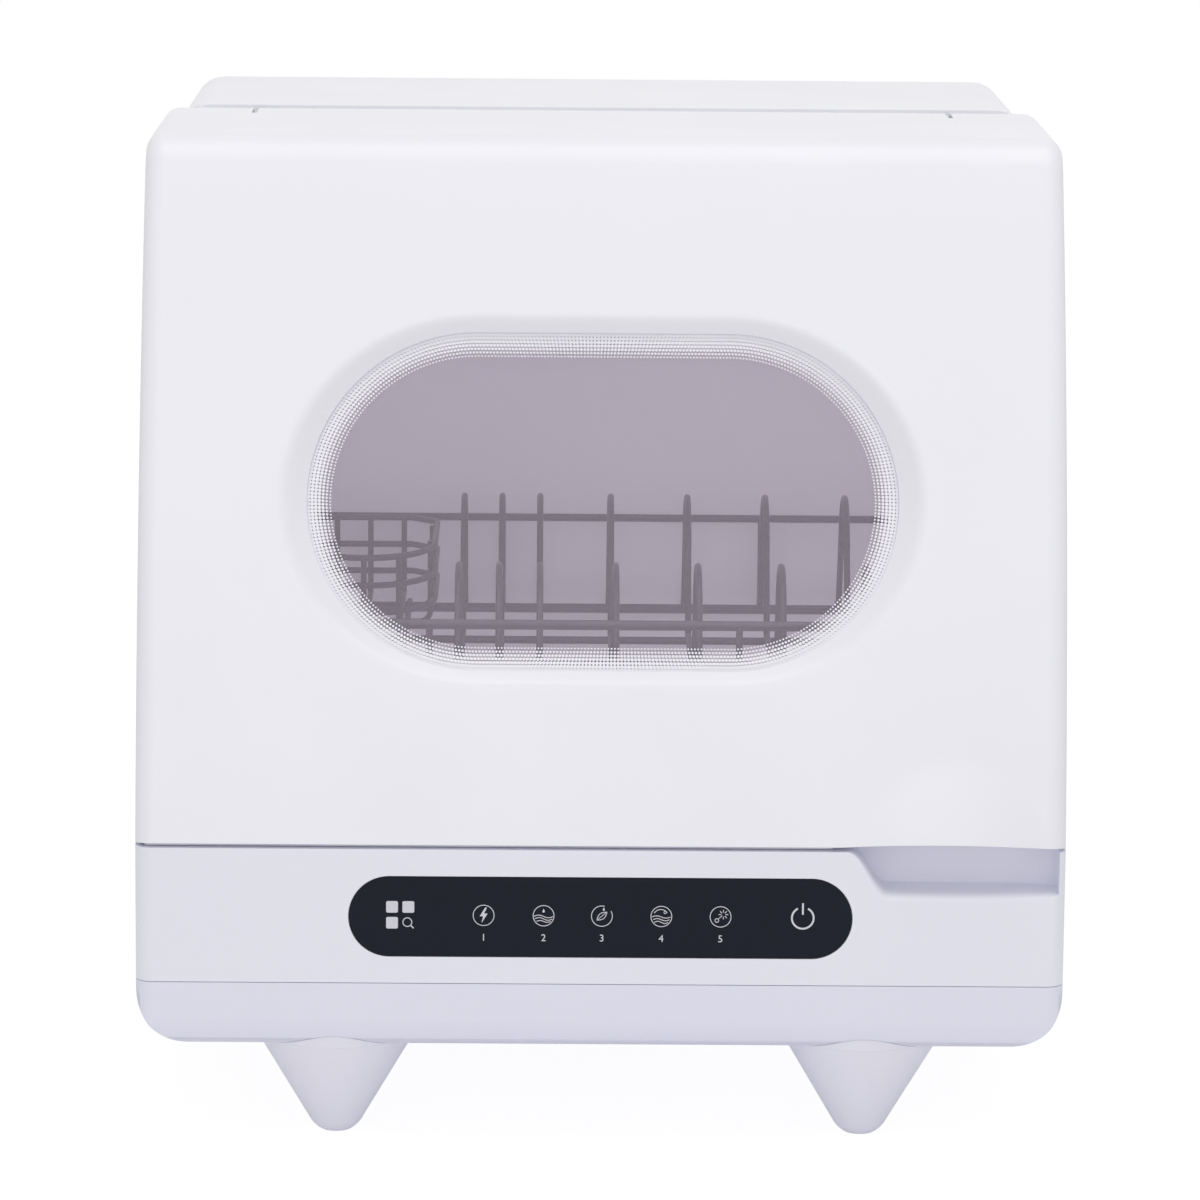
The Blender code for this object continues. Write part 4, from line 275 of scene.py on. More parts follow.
def span(low_x: float, high_x: float, low_y: float, high_y: float, radius: float, steps: int = 8) -> list[Point]:
    """A round-cornered rectangle, or a stadium when the radius is half its height."""
    corners = ((high_x - radius, high_y - radius), (low_x + radius, high_y - radius),
               (low_x + radius, low_y + radius), (high_x - radius, low_y + radius))
    points: list[Point] = []
    for quarter, middle in enumerate(corners):
        for point in arc(middle, radius, quarter * pi / 2, (quarter + 1) * pi / 2, steps):
            if not points or hypot(point[0] - points[-1][0], point[1] - points[-1][1]) > 1e-6:
                points.append(point)
    return points


def mouth_y(level: float, offset: float) -> float:
    """The y where a plane parallel to the tub's mouth crosses a level."""
    return (sin(MOUTH_TILT) * level - offset) / cos(MOUTH_TILT)


def smooth_min(a: float, b: float, width: float) -> float:
    """The smaller of two values with a round blend where they meet."""
    share = max(0.0, min(1.0, 0.5 + 0.5 * (b - a) / width))
    return b + (a - b) * share - width * share * (1 - share)


def link(name: str, mesh: bpy.types.Mesh) -> bpy.types.Object:
    """A new object for a mesh, in the scene's collection."""
    made = bpy.data.objects.new(name, mesh)
    bpy.context.scene.collection.objects.link(made)
    return made


def from_bmesh(name: str, bm: bmesh.types.BMesh, recalculate: bool = True) -> bpy.types.Object:
    """An object from a bmesh, which is freed."""
    if recalculate:
        bmesh.ops.recalc_face_normals(bm, faces=bm.faces)
    mesh = bpy.data.meshes.new(name)
    bm.to_mesh(mesh)
    bm.free()
    return link(name, mesh)


def evaluated_mesh(thing: bpy.types.Object) -> bpy.types.Mesh:
    """The object's mesh with its modifiers."""
    graph = bpy.context.evaluated_depsgraph_get()
    return bpy.data.meshes.new_from_object(thing.evaluated_get(graph), preserve_all_data_layers=True,
                                           depsgraph=graph)


def settle(thing: bpy.types.Object) -> bpy.types.Object:
    """Apply the object's modifiers."""
    mesh = evaluated_mesh(thing)
    thing.modifiers.clear()
    thing.data = mesh
    return thing


def extruded(name: str, outlines: Sequence[Sequence[Point]], low: float, high: float,
             frame: Matrix) -> bpy.types.Object:
    """A flat outline, with holes if more follow, between two levels of its frame.

    Args:
        name: the object's name.
        outlines: closed outlines, the outer one first.
        low: the lower level along the frame's Z axis.
        high: the higher level.
        frame: the outline's frame.

    Returns:
        The solid, with its place in its mesh.
    """
    curve = bpy.data.curves.new(name, "CURVE")
    curve.dimensions = "2D"
    curve.fill_mode = "BOTH"
    curve.extrude = (high - low) / 2
    for outline in outlines:
        spline = curve.splines.new("POLY")
        spline.points.add(len(outline) - 1)
        for point, (u, v) in zip(spline.points, outline):
            point.co = (u, v, 0, 1)
        spline.use_cyclic_u = True
    shape = bpy.data.objects.new(name + "_curve", curve)
    bpy.context.scene.collection.objects.link(shape)
    mesh = evaluated_mesh(shape)
    bpy.data.objects.remove(shape, do_unlink=True)
    bm = bmesh.new()
    bm.from_mesh(mesh)
    bmesh.ops.remove_doubles(bm, verts=bm.verts, dist=0.000002)
    bmesh.ops.transform(bm, matrix=frame @ Matrix.Translation((0, 0, (low + high) / 2)), verts=bm.verts)
    return from_bmesh(name, bm)


def turned(name: str, profile: Sequence[Point], frame: Matrix, steps: int = 48) -> bpy.types.Object:
    """Turn a closed profile of (radius, height) points round the frame's Z axis."""
    bm = bmesh.new()
    rings: list[list[bmesh.types.BMVert]] = []
    for radius, height in profile:
        turns = [2 * pi * i / steps for i in range(steps if radius > 1e-6 else 1)]
        rings.append([bm.verts.new(frame @ Vector((radius * cos(turn), radius * sin(turn), height)))
                      for turn in turns])
    pairs = list(zip(rings, rings[1:]))
    if profile[0][0] > 1e-6:
        pairs.append((rings[-1], rings[0]))
    for upper, lower in pairs:
        for i in range(steps):
            j = (i + 1) % steps
            corners = [upper[i % len(upper)], upper[j % len(upper)], lower[j % len(lower)], lower[i % len(lower)]]
            unique = list(dict.fromkeys(corners))
            if len(unique) > 2:
                bm.faces.new(unique)
    return from_bmesh(name, bm)


def combine(thing: bpy.types.Object, tool: bpy.types.Object, operation: str) -> bpy.types.Object:
    """Cut, join or intersect a piece with a tool, which is used up."""
    step = thing.modifiers.new("shape", "BOOLEAN")
    step.operation = operation
    step.solver = "EXACT"
    step.object = tool
    settle(thing)
    bpy.data.objects.remove(tool, do_unlink=True)
    return thing


def cut(thing: bpy.types.Object, *tools: bpy.types.Object) -> bpy.types.Object:
    """Take each tool away from a piece."""
    for tool in tools:
        combine(thing, tool, "DIFFERENCE")
    return thing


def merged(name: str, pieces: Iterable[bpy.types.Object]) -> bpy.types.Object:
    """Put several meshes into one object, without fusing them."""
    bm = bmesh.new()
    for piece in pieces:
        bm.from_mesh(piece.data)
        bpy.data.objects.remove(piece, do_unlink=True)
    return from_bmesh(name, bm, recalculate=False)


def round_edges(thing: bpy.types.Object, chosen: Callable[[Vector, Vector], bool], radius: float,
                segments: int = 6) -> bpy.types.Object:
    """Round the edges whose midpoint and direction pass the test."""
    bm = bmesh.new()
    bm.from_mesh(thing.data)
    bmesh.ops.dissolve_limit(bm, angle_limit=0.0001, verts=bm.verts, edges=bm.edges)
    edges = []
    for edge in bm.edges:
        start, end = edge.verts[0].co, edge.verts[1].co
        folded = len(edge.link_faces) == 2 and edge.calc_face_angle() > 0.02
        if folded and chosen((start + end) / 2, (end - start).normalized()):
            edges.append(edge)
    bmesh.ops.bevel(bm, geom=edges, offset=radius, segments=segments, profile=0.5, affect="EDGES",
                    clamp_overlap=True)
    bm.to_mesh(thing.data)
    bm.free()
    return thing


def dress(thing: bpy.types.Object, finish: Finish, body: str, *nodes: str, edge: float = 0.0,
          sharp: float = 35.0) -> bpy.types.Object:
    """Finish a piece: small edge rounds, smooth faces, material and body.

    Args:
        thing: the piece, with its place in its mesh.
        finish: its material.
        body: the CAD body it rides on.
        nodes: the CAD nodes it stands for.
        edge: radius of the round on its sharp edges, or 0 for none.
        sharp: angle in degrees past which an edge stays sharp.

    Returns:
        The same piece.
    """
    if edge:
        soften = thing.modifiers.new("edge_round", "BEVEL")
        soften.width = edge
        soften.segments = 2
        soften.limit_method = "ANGLE"
        soften.angle_limit = radians(sharp)
        settle(thing)
    thing.data.shade_smooth()
    thing.data.set_sharp_from_angle(angle=radians(sharp))
    weigh = thing.modifiers.new("flat_faces_first", "WEIGHTED_NORMAL")
    weigh.keep_sharp = True
    thing.data.materials.clear()
    thing.data.materials.append(finish.material())
    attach(thing, body)
    if nodes:
        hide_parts(*nodes)
    LOG.info("%s: %d faces on %s", thing.name, len(thing.data.polygons), body)
    return thing


def reskin(frame: dict, node: str, finish: Finish, body: str, name: str = "", edge: float = 0.0) -> bpy.types.Object:
    """A merged, smooth-shaded copy of a CAD node that stands for it."""
    bm = bmesh.new()
    bm.from_mesh(frame["nodes"][node].data)
    bmesh.ops.remove_doubles(bm, verts=bm.verts, dist=0.000001)
    if edge:
        bmesh.ops.dissolve_limit(bm, angle_limit=0.001, verts=bm.verts, edges=bm.edges)
    copy = from_bmesh(name or node + "_skin", bm, recalculate=False)
    return dress(copy, finish, body, node, edge=edge, sharp=40)


def geometry_tree(name: str, sizes: dict[str, float | int]) -> tuple[bpy.types.NodeTree, bpy.types.Node]:
    """A geometry tree with a geometry input, a material input and named sizes.

    Args:
        name: the tree's name.
        sizes: input name to its default; a whole number makes an integer input.

    Returns:
        The tree and its input node.
    """
    tree = bpy.data.node_groups.new(name, "GeometryNodeTree")
    tree.interface.new_socket("Geometry", in_out="INPUT", socket_type="NodeSocketGeometry")
    tree.interface.new_socket("Material", in_out="INPUT", socket_type="NodeSocketMaterial")
    for label, value in sizes.items():
        kind = "NodeSocketInt" if isinstance(value, int) else "NodeSocketFloat"
        tree.interface.new_socket(label, in_out="INPUT", socket_type=kind).default_value = value
    tree.interface.new_socket("Geometry", in_out="OUTPUT", socket_type="NodeSocketGeometry")
    return tree, add_node(tree, "NodeGroupInput")


def end_tree(tree: bpy.types.NodeTree, start: bpy.types.Node, shape: bpy.types.NodeSocket) -> bpy.types.NodeTree:
    """Close a geometry tree with Realize Instances and Set Material."""
    real = add_node(tree, "GeometryNodeRealizeInstances", {0: shape})
    coloured = add_node(tree, "GeometryNodeSetMaterial", {0: real.outputs[0], "Material": start.outputs["Material"]})
    add_node(tree, "NodeGroupOutput", {0: coloured.outputs[0]})
    return tree


def wire_tree() -> bpy.types.NodeTree:
    """Round bars along the edges of a mesh: rack wires, hoses, rings and strokes."""
    tree, start = geometry_tree("round_bars", {"Radius": 0.0015, "Sides": 12})
    path = add_node(tree, "GeometryNodeMeshToCurve", {0: start.outputs[0]})
    bar = add_node(tree, "GeometryNodeCurvePrimitiveCircle",
                   {"Resolution": start.outputs["Sides"], "Radius": start.outputs["Radius"]})
    body = add_node(tree, "GeometryNodeCurveToMesh", {0: path.outputs[0], 1: bar.outputs[0], "Fill Caps": True})
    return end_tree(tree, start, body.outputs[0])


def dot_tree() -> bpy.types.NodeTree:
    """A flat disc on each point, with its radius read from the point."""
    tree, start = geometry_tree("printed_dots", {"Sides": 10})
    disc = add_node(tree, "GeometryNodeMeshCircle", {"Vertices": start.outputs["Sides"], "Radius": 1.0},
                    fill_type="NGON")
    size = add_node(tree, "GeometryNodeInputNamedAttribute", {"Name": "dot_radius"}, data_type="FLOAT")
    dots = add_node(tree, "GeometryNodeInstanceOnPoints",
                    {0: start.outputs[0], 2: disc.outputs[0], "Scale": size.outputs[0]})
    return end_tree(tree, start, dots.outputs[0])


def repeat_tree(name: str, model: bpy.types.Object) -> bpy.types.NodeTree:
    """A copy of a small model on each point, with its +Z turned along the point's normal."""
    tree, start = geometry_tree(name, {"Scale": 1.0})
    shape = add_node(tree, "GeometryNodeObjectInfo", {"Object": model})
    normal = add_node(tree, "GeometryNodeInputNamedAttribute", {"Name": "facing"}, data_type="FLOAT_VECTOR")
    turn = add_node(tree, "FunctionNodeAlignRotationToVector", {"Vector": normal.outputs[0]}, axis="Z")
    copies = add_node(tree, "GeometryNodeInstanceOnPoints",
                      {0: start.outputs[0], 2: shape.outputs["Geometry"], "Rotation": turn.outputs[0],
                       "Scale": start.outputs["Scale"]})
    return end_tree(tree, start, copies.outputs[0])


def grown(seed: bpy.types.Object, tree: bpy.types.NodeTree, finish: Finish,
          sizes: dict[str, float | int]) -> bpy.types.Object:
    """Run a geometry tree on an object and keep the result as a plain mesh.

    Args:
        seed: the object whose mesh feeds the tree.
        tree: the geometry tree.
        finish: the material it sets.
        sizes: input name to value.

    Returns:
        The same object with the grown mesh and no modifier.
    """
    step = seed.modifiers.new(tree.name, "NODES")
    step.node_group = tree
    values = {"Material": finish.material(), **sizes}
    for item in tree.interface.items_tree:
        if item.in_out == "INPUT" and item.name in values:
            step[item.identifier] = values[item.name]
    return settle(seed)


def run_mesh(name: str, paths: Sequence[Sequence[Sequence[float]]], closed: bool = False) -> bpy.types.Object:
    """An object of plain edges along paths, for a geometry tree to follow."""
    points: list[Sequence[float]] = []
    edges: list[tuple[int, int]] = []
    for path in paths:
        first = len(points)
        points += [tuple(point) for point in path]
        edges += [(first + i, first + i + 1) for i in range(len(path) - 1)]
        if closed:
            edges.append((first + len(path) - 1, first))
    mesh = bpy.data.meshes.new(name)
    mesh.from_pydata(points, edges, [])
    return link(name, mesh)


def point_mesh(name: str, places: Sequence[Point3], attribute: str, kind: str,
               values: Sequence[float | Point3]) -> bpy.types.Object:
    """An object of loose points that carry one attribute."""
    mesh = bpy.data.meshes.new(name)
    mesh.from_pydata(places, [], [])
    layer = mesh.attributes.new(attribute, kind, "POINT")
    for item, value in zip(layer.data, values):
        if kind == "FLOAT":
            item.value = value
        else:
            item.vector = value
    return link(name, mesh)


def bent(points: Sequence[Point3], radius: float, steps: int = 6) -> list[Vector]:
    """A path through the points with each inner corner turned at the radius."""
    path = [Vector(points[0])]
    for before, corner, after in zip(points, points[1:], points[2:]):
        middle = Vector(corner)
        towards, away = Vector(before) - middle, Vector(after) - middle
        half = towards.angle(away) / 2
        reach = min(radius / tan(half), towards.length * 0.499, away.length * 0.499)
        towards.normalize()
        away.normalize()
        bow = reach * tan(half)
        inward = (towards + away).normalized()
        centre = middle + inward * (bow / sin(half))
        side = (away - towards).normalized()
        sweep = pi / 2 - half
        for i in range(steps + 1):
            angle = -sweep + 2 * sweep * i / steps
            path.append(centre - inward * (bow * cos(angle)) + side * (bow * sin(angle)))
    path.append(Vector(points[-1]))
    return path


@dataclass
class HoodDoor:
    """The lift-up hood: a curved skin with a recessed window and a swollen lift handle."""

    frame: dict
    body: str = "door"
    lean_bottom: float = radians(8)
    lean_top: float = radians(26)
    bend_radius: float = 0.018
    roll_radius: float = 0.017
    roll_end: float = radians(-35)
    cheek_offset: float = 0.2      # rear edge of the cheeks, from the origin along the mouth's normal
    web_offset: float = 0.218      # rear edge of the bottom web, measured the same way
    web_rise: float = 0.0004
    web_corner: float = 0.006
    sill_end: float = 0.1          # the sill strip stops short of the recess
    sill_side: float = 0.004
    sill_front: float = 0.0045
    sill_back: float = 0.008
    sill_corner: float = 0.0015
    edge_soft: float = 0.0006      # small round on the moulding's edges
    window_up: float = 0.1495
    window_half_length: float = 0.128
    window_half_height: float = 0.07375
    bevel: float = 0.0105
    bevel_blend: float = 0.0022
    recess: float = 0.008
    handle_x: float = 0.153
    handle_sink: float = 0.009     # the handle is the cap of a dome that lies this deep in the skin
    handle_height: float = 0.014
    handle_reach: float = 0.0457
    handle_blend: float = 0.0018
    arch_x: float = 0.148          # the door's lower edge arches up a little over the recess
    arch_half: float = 0.045
    arch_rise: float = 0.0016
    arch_fade: float = 0.012
    slit_half: float = 0.0012      # slits beside the hinges
    slit_reach: float = 0.022
    dots_around: int = 430
    dot_radii: tuple[float, ...] = (0.00092, 0.00087, 0.00081, 0.00074, 0.00065, 0.00053, 0.00040)
    dot_pitch: float = 0.00158
    dot_inset: float = 0.0006
    face: float = field(init=False)
    arc_y: float = field(init=False)
    arc_z: float = field(init=False)

    def __post_init__(self) -> None:
        """Work out the long arc of the front from the door's height."""
        rise = TOP_Z - DOOR_Z - self.bend_radius * (1 - sin(self.lean_top))
        self.face = rise / (sin(self.lean_top) - sin(self.lean_bottom))
        self.arc_y = FRONT + self.face * cos(self.lean_bottom)
        self.arc_z = DOOR_Z - self.face * sin(self.lean_bottom)

    @property
    def lengths(self) -> tuple[float, float, float, float]:
        """Lengths of the long arc, the bend, the flat top and the roll."""
        bend_y = self.arc_y - (self.face - self.bend_radius) * cos(self.lean_top)
        return (self.face * (self.lean_top - self.lean_bottom), self.bend_radius * (pi / 2 - self.lean_top),
                HINGE_Y - bend_y, self.roll_radius * (pi / 2 - self.roll_end))

    @property
    def window(self) -> Matrix:
        """Frame of the window's plane, which touches the skin at its centre."""
        lean = self.lean_bottom + self.window_up / self.face
        return sloped_frame(lean, (0, self.arc_y - self.face * cos(lean), self.arc_z + self.face * sin(lean)))

    def stadium(self, grow: float, steps: int = 24) -> list[Point]:
        """The window's outline, made larger or smaller all round."""
        half = self.window_half_height + grow
        length = self.window_half_length + grow
        return span(-length, length, -half, half, half, steps)

    def profile(self, along: float) -> tuple[float, float, float]:
        """Where the skin's side profile is.

        Args:
            along: distance up the skin from its lower edge.

        Returns:
            y, z and the angle of the outward normal above the horizontal.
        """
        face, bend, flat, roll = self.lengths
        if along <= face:
            lean = self.lean_bottom + along / self.face
            return self.arc_y - self.face * cos(lean), self.arc_z + self.face * sin(lean), lean
        bend_y = self.arc_y - (self.face - self.bend_radius) * cos(self.lean_top)
        if along <= face + bend:
            lean = self.lean_top + (along - face) / self.bend_radius
            return bend_y - self.bend_radius * cos(lean), TOP_Z - self.bend_radius * (1 - sin(lean)), lean
        if along <= face + bend + flat:
            return bend_y + along - face - bend, TOP_Z, pi / 2
        turn = (min(along, face + bend + flat + roll) - face - bend - flat) / self.roll_radius
        return (HINGE_Y + self.roll_radius * sin(turn), HINGE_Z + self.roll_radius * cos(turn), pi / 2 + turn)

    def handle_lift(self, across: float, along: float) -> float:
        """How far the lift handle swells out of the skin."""
        share = hypot(across - self.handle_x, along) / self.handle_reach
        dome = self.handle_height * (1 - min(share, 1.0) ** 2) ** 0.5 - self.handle_sink
        return -smooth_min(-dome, 0.0, self.handle_blend)

    def skin(self, across: float, along: float) -> Vector:
        """A point of the outer skin.

        Args:
            across: distance across the skin from its middle, round the side edge and onto the cheek.
            along: distance up the skin from its lower edge.

        Returns:
            The point in the row frame.
        """
        flat = HALF_WIDTH - CORNER
        side = 1 if across >= 0 else -1
        past = max(0.0, abs(across) - flat)
        turn = min(past / CORNER, pi / 2)
        extra = max(0.0, past - CORNER * pi / 2)
        x = side * (min(abs(across), flat) + CORNER * sin(turn))
        inset = CORNER * (1 - cos(turn)) + extra
        y, z, lean = self.profile(along)
        lift = self.handle_lift(across, along) * cos(turn)
        out = lift - inset
        aside = min(abs(across - self.arch_x) / self.arch_half, 1.0)
        raised = self.arch_rise * cos(aside * pi / 2) * max(0.0, 1 - along / self.arch_fade)
        point = Vector((x, y - out * cos(lean), z + out * sin(lean) + raised))
        return point - self.window_sink(point) * (self.window.to_3x3() @ Vector((0, 0, 1)))

    def window_sink(self, point: Vector) -> float:
        """How far the bevel round the window lies below the skin at a point of the skin."""
        u, v, level = self.window.inverted() @ point
        straight = self.window_half_length - self.window_half_height
        away = hypot(max(0.0, abs(u) - straight), v) - self.window_half_height
        if away > 4 * self.bevel or level < -4 * self.recess:
            return 0.0
        flare = -self.recess + away * self.recess / self.bevel
        return level - smooth_min(level, flare, self.bevel_blend)

    def shell(self) -> bpy.types.Object:
        """The outer skin as rings round the window, a frame of rows and columns, and two cheeks."""
        margin = 0.001
        flat = HALF_WIDTH - CORNER - margin
        face, bend, top, roll = self.lengths
        low, high = 4 * margin, face - 2 * margin
        sides, tops, far = 112, 132, 34
        bm = bmesh.new()
        made: dict[tuple[float, float], bmesh.types.BMVert] = {}

        def vert(across: float, along: float) -> bmesh.types.BMVert:
            key = (round(across, 7), round(along, 7))
            if key not in made:
                made[key] = bm.verts.new(self.skin(across, along))
            return made[key]

        columns = [-flat + 2 * flat * i / tops for i in range(tops + 1)]
        rows = [low + (high - low) * i / sides for i in range(sides + 1)]
        border = ([(flat, row) for row in rows[:-1]] + [(column, high) for column in reversed(columns[1:])]
                  + [(-flat, row) for row in reversed(rows[1:])] + [(column, low) for column in columns[:-1]])
        ring0 = self.ring_points(sides, tops)
        near = [0.0005, 0.0012] + [0.0012 + 0.0009 * i for i in range(1, 22)]  # fine rings over the bevel
        shells = [[(u + nu * d, v + nv * d) for (u, v), (nu, nv) in ring0] for d in [0.0] + near]
        rings = [[vert(u, self.window_up + self.face * asin(v / self.face)) for u, v in ring] for ring in shells]
        for k in range(1, far + 1):
            share = k / far
            ring = []
            for (u, v), (across, along) in zip(shells[-1], border):
                start = self.window_up + self.face * asin(v / self.face)
                ring.append(vert(u + (across - u) * share, start + (along - start) * share))
            rings.append(ring)
        count = len(border)
        ledge = [bm.verts.new(self.window @ Vector((u, v, -self.recess - WALL))) for u, v in shells[0]]
        for inner, outer in zip([ledge] + rings, rings):
            for i in range(count):
                j = (i + 1) % count
                bm.faces.new((inner[i], outer[i], outer[j], inner[j]))
        edge = CORNER * pi / 2
        wings = [margin] + [margin + edge * i / 8 for i in range(1, 9)] + [2.5 * margin + edge]
        outer_columns = [-flat - w for w in reversed(wings)] + columns + [flat + w for w in wings]
        over = [high + margin, face] + [face + bend * i / 10 for i in range(1, 11)]
        over += [face + bend + top * i / 24 for i in range(1, 25)]
        over += [face + bend + top + roll * i / 18 for i in range(1, 19)]
        outer_rows = [0.0, 2 * margin] + rows + over
        for left, right in zip(outer_columns, outer_columns[1:]):
            for lower, upper in zip(outer_rows, outer_rows[1:]):
                if not (left > -flat - 1e-9 and right < flat + 1e-9 and lower > low - 1e-9 and upper < high + 1e-9):
                    bm.faces.new((vert(left, lower), vert(right, lower), vert(right, upper), vert(left, upper)))
        for side in (-1, 1):
            edge_line = [vert(side * (flat + wings[-1]), row) for row in outer_rows]
            foot = bm.verts.new((side * HALF_WIDTH, mouth_y(DOOR_Z, self.cheek_offset), DOOR_Z))
            bm.faces.new(edge_line + [foot])
        bmesh.ops.triangulate(bm, faces=[polygon for polygon in bm.faces if len(polygon.verts) > 4])
        bmesh.ops.recalc_face_normals(bm, faces=bm.faces)
        if sum(polygon.normal.y * polygon.calc_area() for polygon in bm.faces) > 0:
            bmesh.ops.reverse_faces(bm, faces=bm.faces)
        shell = from_bmesh("door_shell_skin", bm, recalculate=False)
        thick = shell.modifiers.new("wall", "SOLIDIFY")
        thick.thickness = WALL
        thick.offset = -1
        thick.use_even_offset = True
        return settle(shell)

    def ring_points(self, sides: int, tops: int) -> list[tuple[Point, Point]]:
        """Points and outward directions round the window, matched to the border of rows and columns.

        Args:
            sides: points on each short side.
            tops: points on each long side.

        Returns:
            The point and the direction for each border point, from the lower right corner up.
        """
        straight, radius = self.window_half_length - self.window_half_height, self.window_half_height
        ring: list[tuple[Point, Point]] = []
        for quarter, count in enumerate((sides, tops, sides, tops)):
            start = -pi / 4 + quarter * pi / 2
            for i in range(count):
                share = i / count
                if quarter % 2 == 0:
                    angle = start + pi / 2 * share
                    middle = straight if quarter == 0 else -straight
                    ring.append(((middle + radius * cos(angle), radius * sin(angle)), (cos(angle), sin(angle))))
                    continue
                curve = radius * pi / 4
                place = share * (2 * curve + 2 * straight)
                sign = 1 if quarter == 1 else -1
                if place < curve:
                    angle, middle = start + place / radius, sign * straight
                elif place > curve + 2 * straight:
                    angle, middle = start + (place - 2 * straight) / radius, -sign * straight
                else:
                    angle, middle = start + pi / 4, sign * (straight - (place - curve))
                ring.append(((middle + radius * cos(angle), radius * sin(angle)), (cos(angle), sin(angle))))
        return ring

    def build(self) -> None:
        """Skin, bottom web, glass, printed dots, seal, inner door and hinge arms."""
        shell = self.shell()
        slits = []
        for x in (-HINGE_X, HINGE_X):
            outline = span(x - self.slit_half, x + self.slit_half, HINGE_Y - self.slit_reach, BACK, 0.001, 3)
            slits.append(extruded("hinge_slit", [outline], COVER_Z - 0.02, TOP_Z + WALL, PLAN))
        cut(shell, *slits)
        half, web_front = HALF_WIDTH - WALL - 0.0001, FRONT + WALL + GAP
        outline = span(-half, half, web_front, mouth_y(DOOR_Z, self.web_offset), self.web_corner)
        web = extruded("door_web", [outline], DOOR_Z + self.web_rise, DOOR_Z + WALL, PLAN)
        dress(merged("door_shell_skin_web", [shell, web]), WHITE_ABS, self.body, "door_shell", edge=self.edge_soft,
              sharp=50)
        reskin(self.frame, "window_glass", FLOAT_GLASS, self.body)
        reskin(self.frame, "window_gasket", SILICONE, self.body)
        reskin(self.frame, "door_liner", LINER_PP, self.body)
        for side in ("left", "right"):
            reskin(self.frame, side + "_hinge_arm", STAINLESS, self.body, edge=0.0003)
        # The pale strip that shows in the gap under the door's edge, up to the recess
        outline = span(-HALF_WIDTH + self.sill_side, self.sill_end, FRONT + self.sill_front,
                       FRONT + self.sill_back, self.sill_corner, 4)
        sill = extruded("door_sill_strip", [outline], DECK_Z + GAP, DOOR_Z + 2 * GAP, PLAN)
        dress(sill, WHITE_ABS, self.body)
        self.printed_border()

    def printed_border(self) -> None:
        """Rows of white dots on the glass that grow towards its edge."""
        places: list[Point3] = []
        sizes: list[float] = []
        straight = self.window_half_length - self.window_half_height
        for row, radius in enumerate(self.dot_radii):
            loop = self.window_half_height - self.dot_inset - row * self.dot_pitch
            length = 2 * pi * loop + 4 * straight
            for i in range(self.dots_around):
                place = (i + 0.5 * (row % 2)) / self.dots_around * length
                places.append((*self.on_loop(loop, straight, place), 0.0))
                sizes.append(radius)
        dots = grown(point_mesh("window_frit_dots", places, "dot_radius", "FLOAT", sizes), dot_tree(), FRIT,
                     {"Sides": 10})
        proud = 0.0001  # above the glass, so that the two faces don't flicker
        level = -self.recess - WALL - GAP + proud
        dots.data.transform(self.window @ Matrix.Translation((0, 0, level)))
        dress(dots, FRIT, self.body)

    @staticmethod
    def on_loop(radius: float, straight: float, place: float) -> Point:
        """The point a distance round a stadium of this end radius and half straight length."""
        half = pi * radius
        if place < half:
            angle = place / radius - pi / 2
            return straight + radius * cos(angle), radius * sin(angle)
        place -= half
        if place < 2 * straight:
            return straight - place, radius
        place -= 2 * straight
        if place < half:
            angle = place / radius + pi / 2
            return -straight + radius * cos(angle), radius * sin(angle)
        return -straight + place - half, -radius


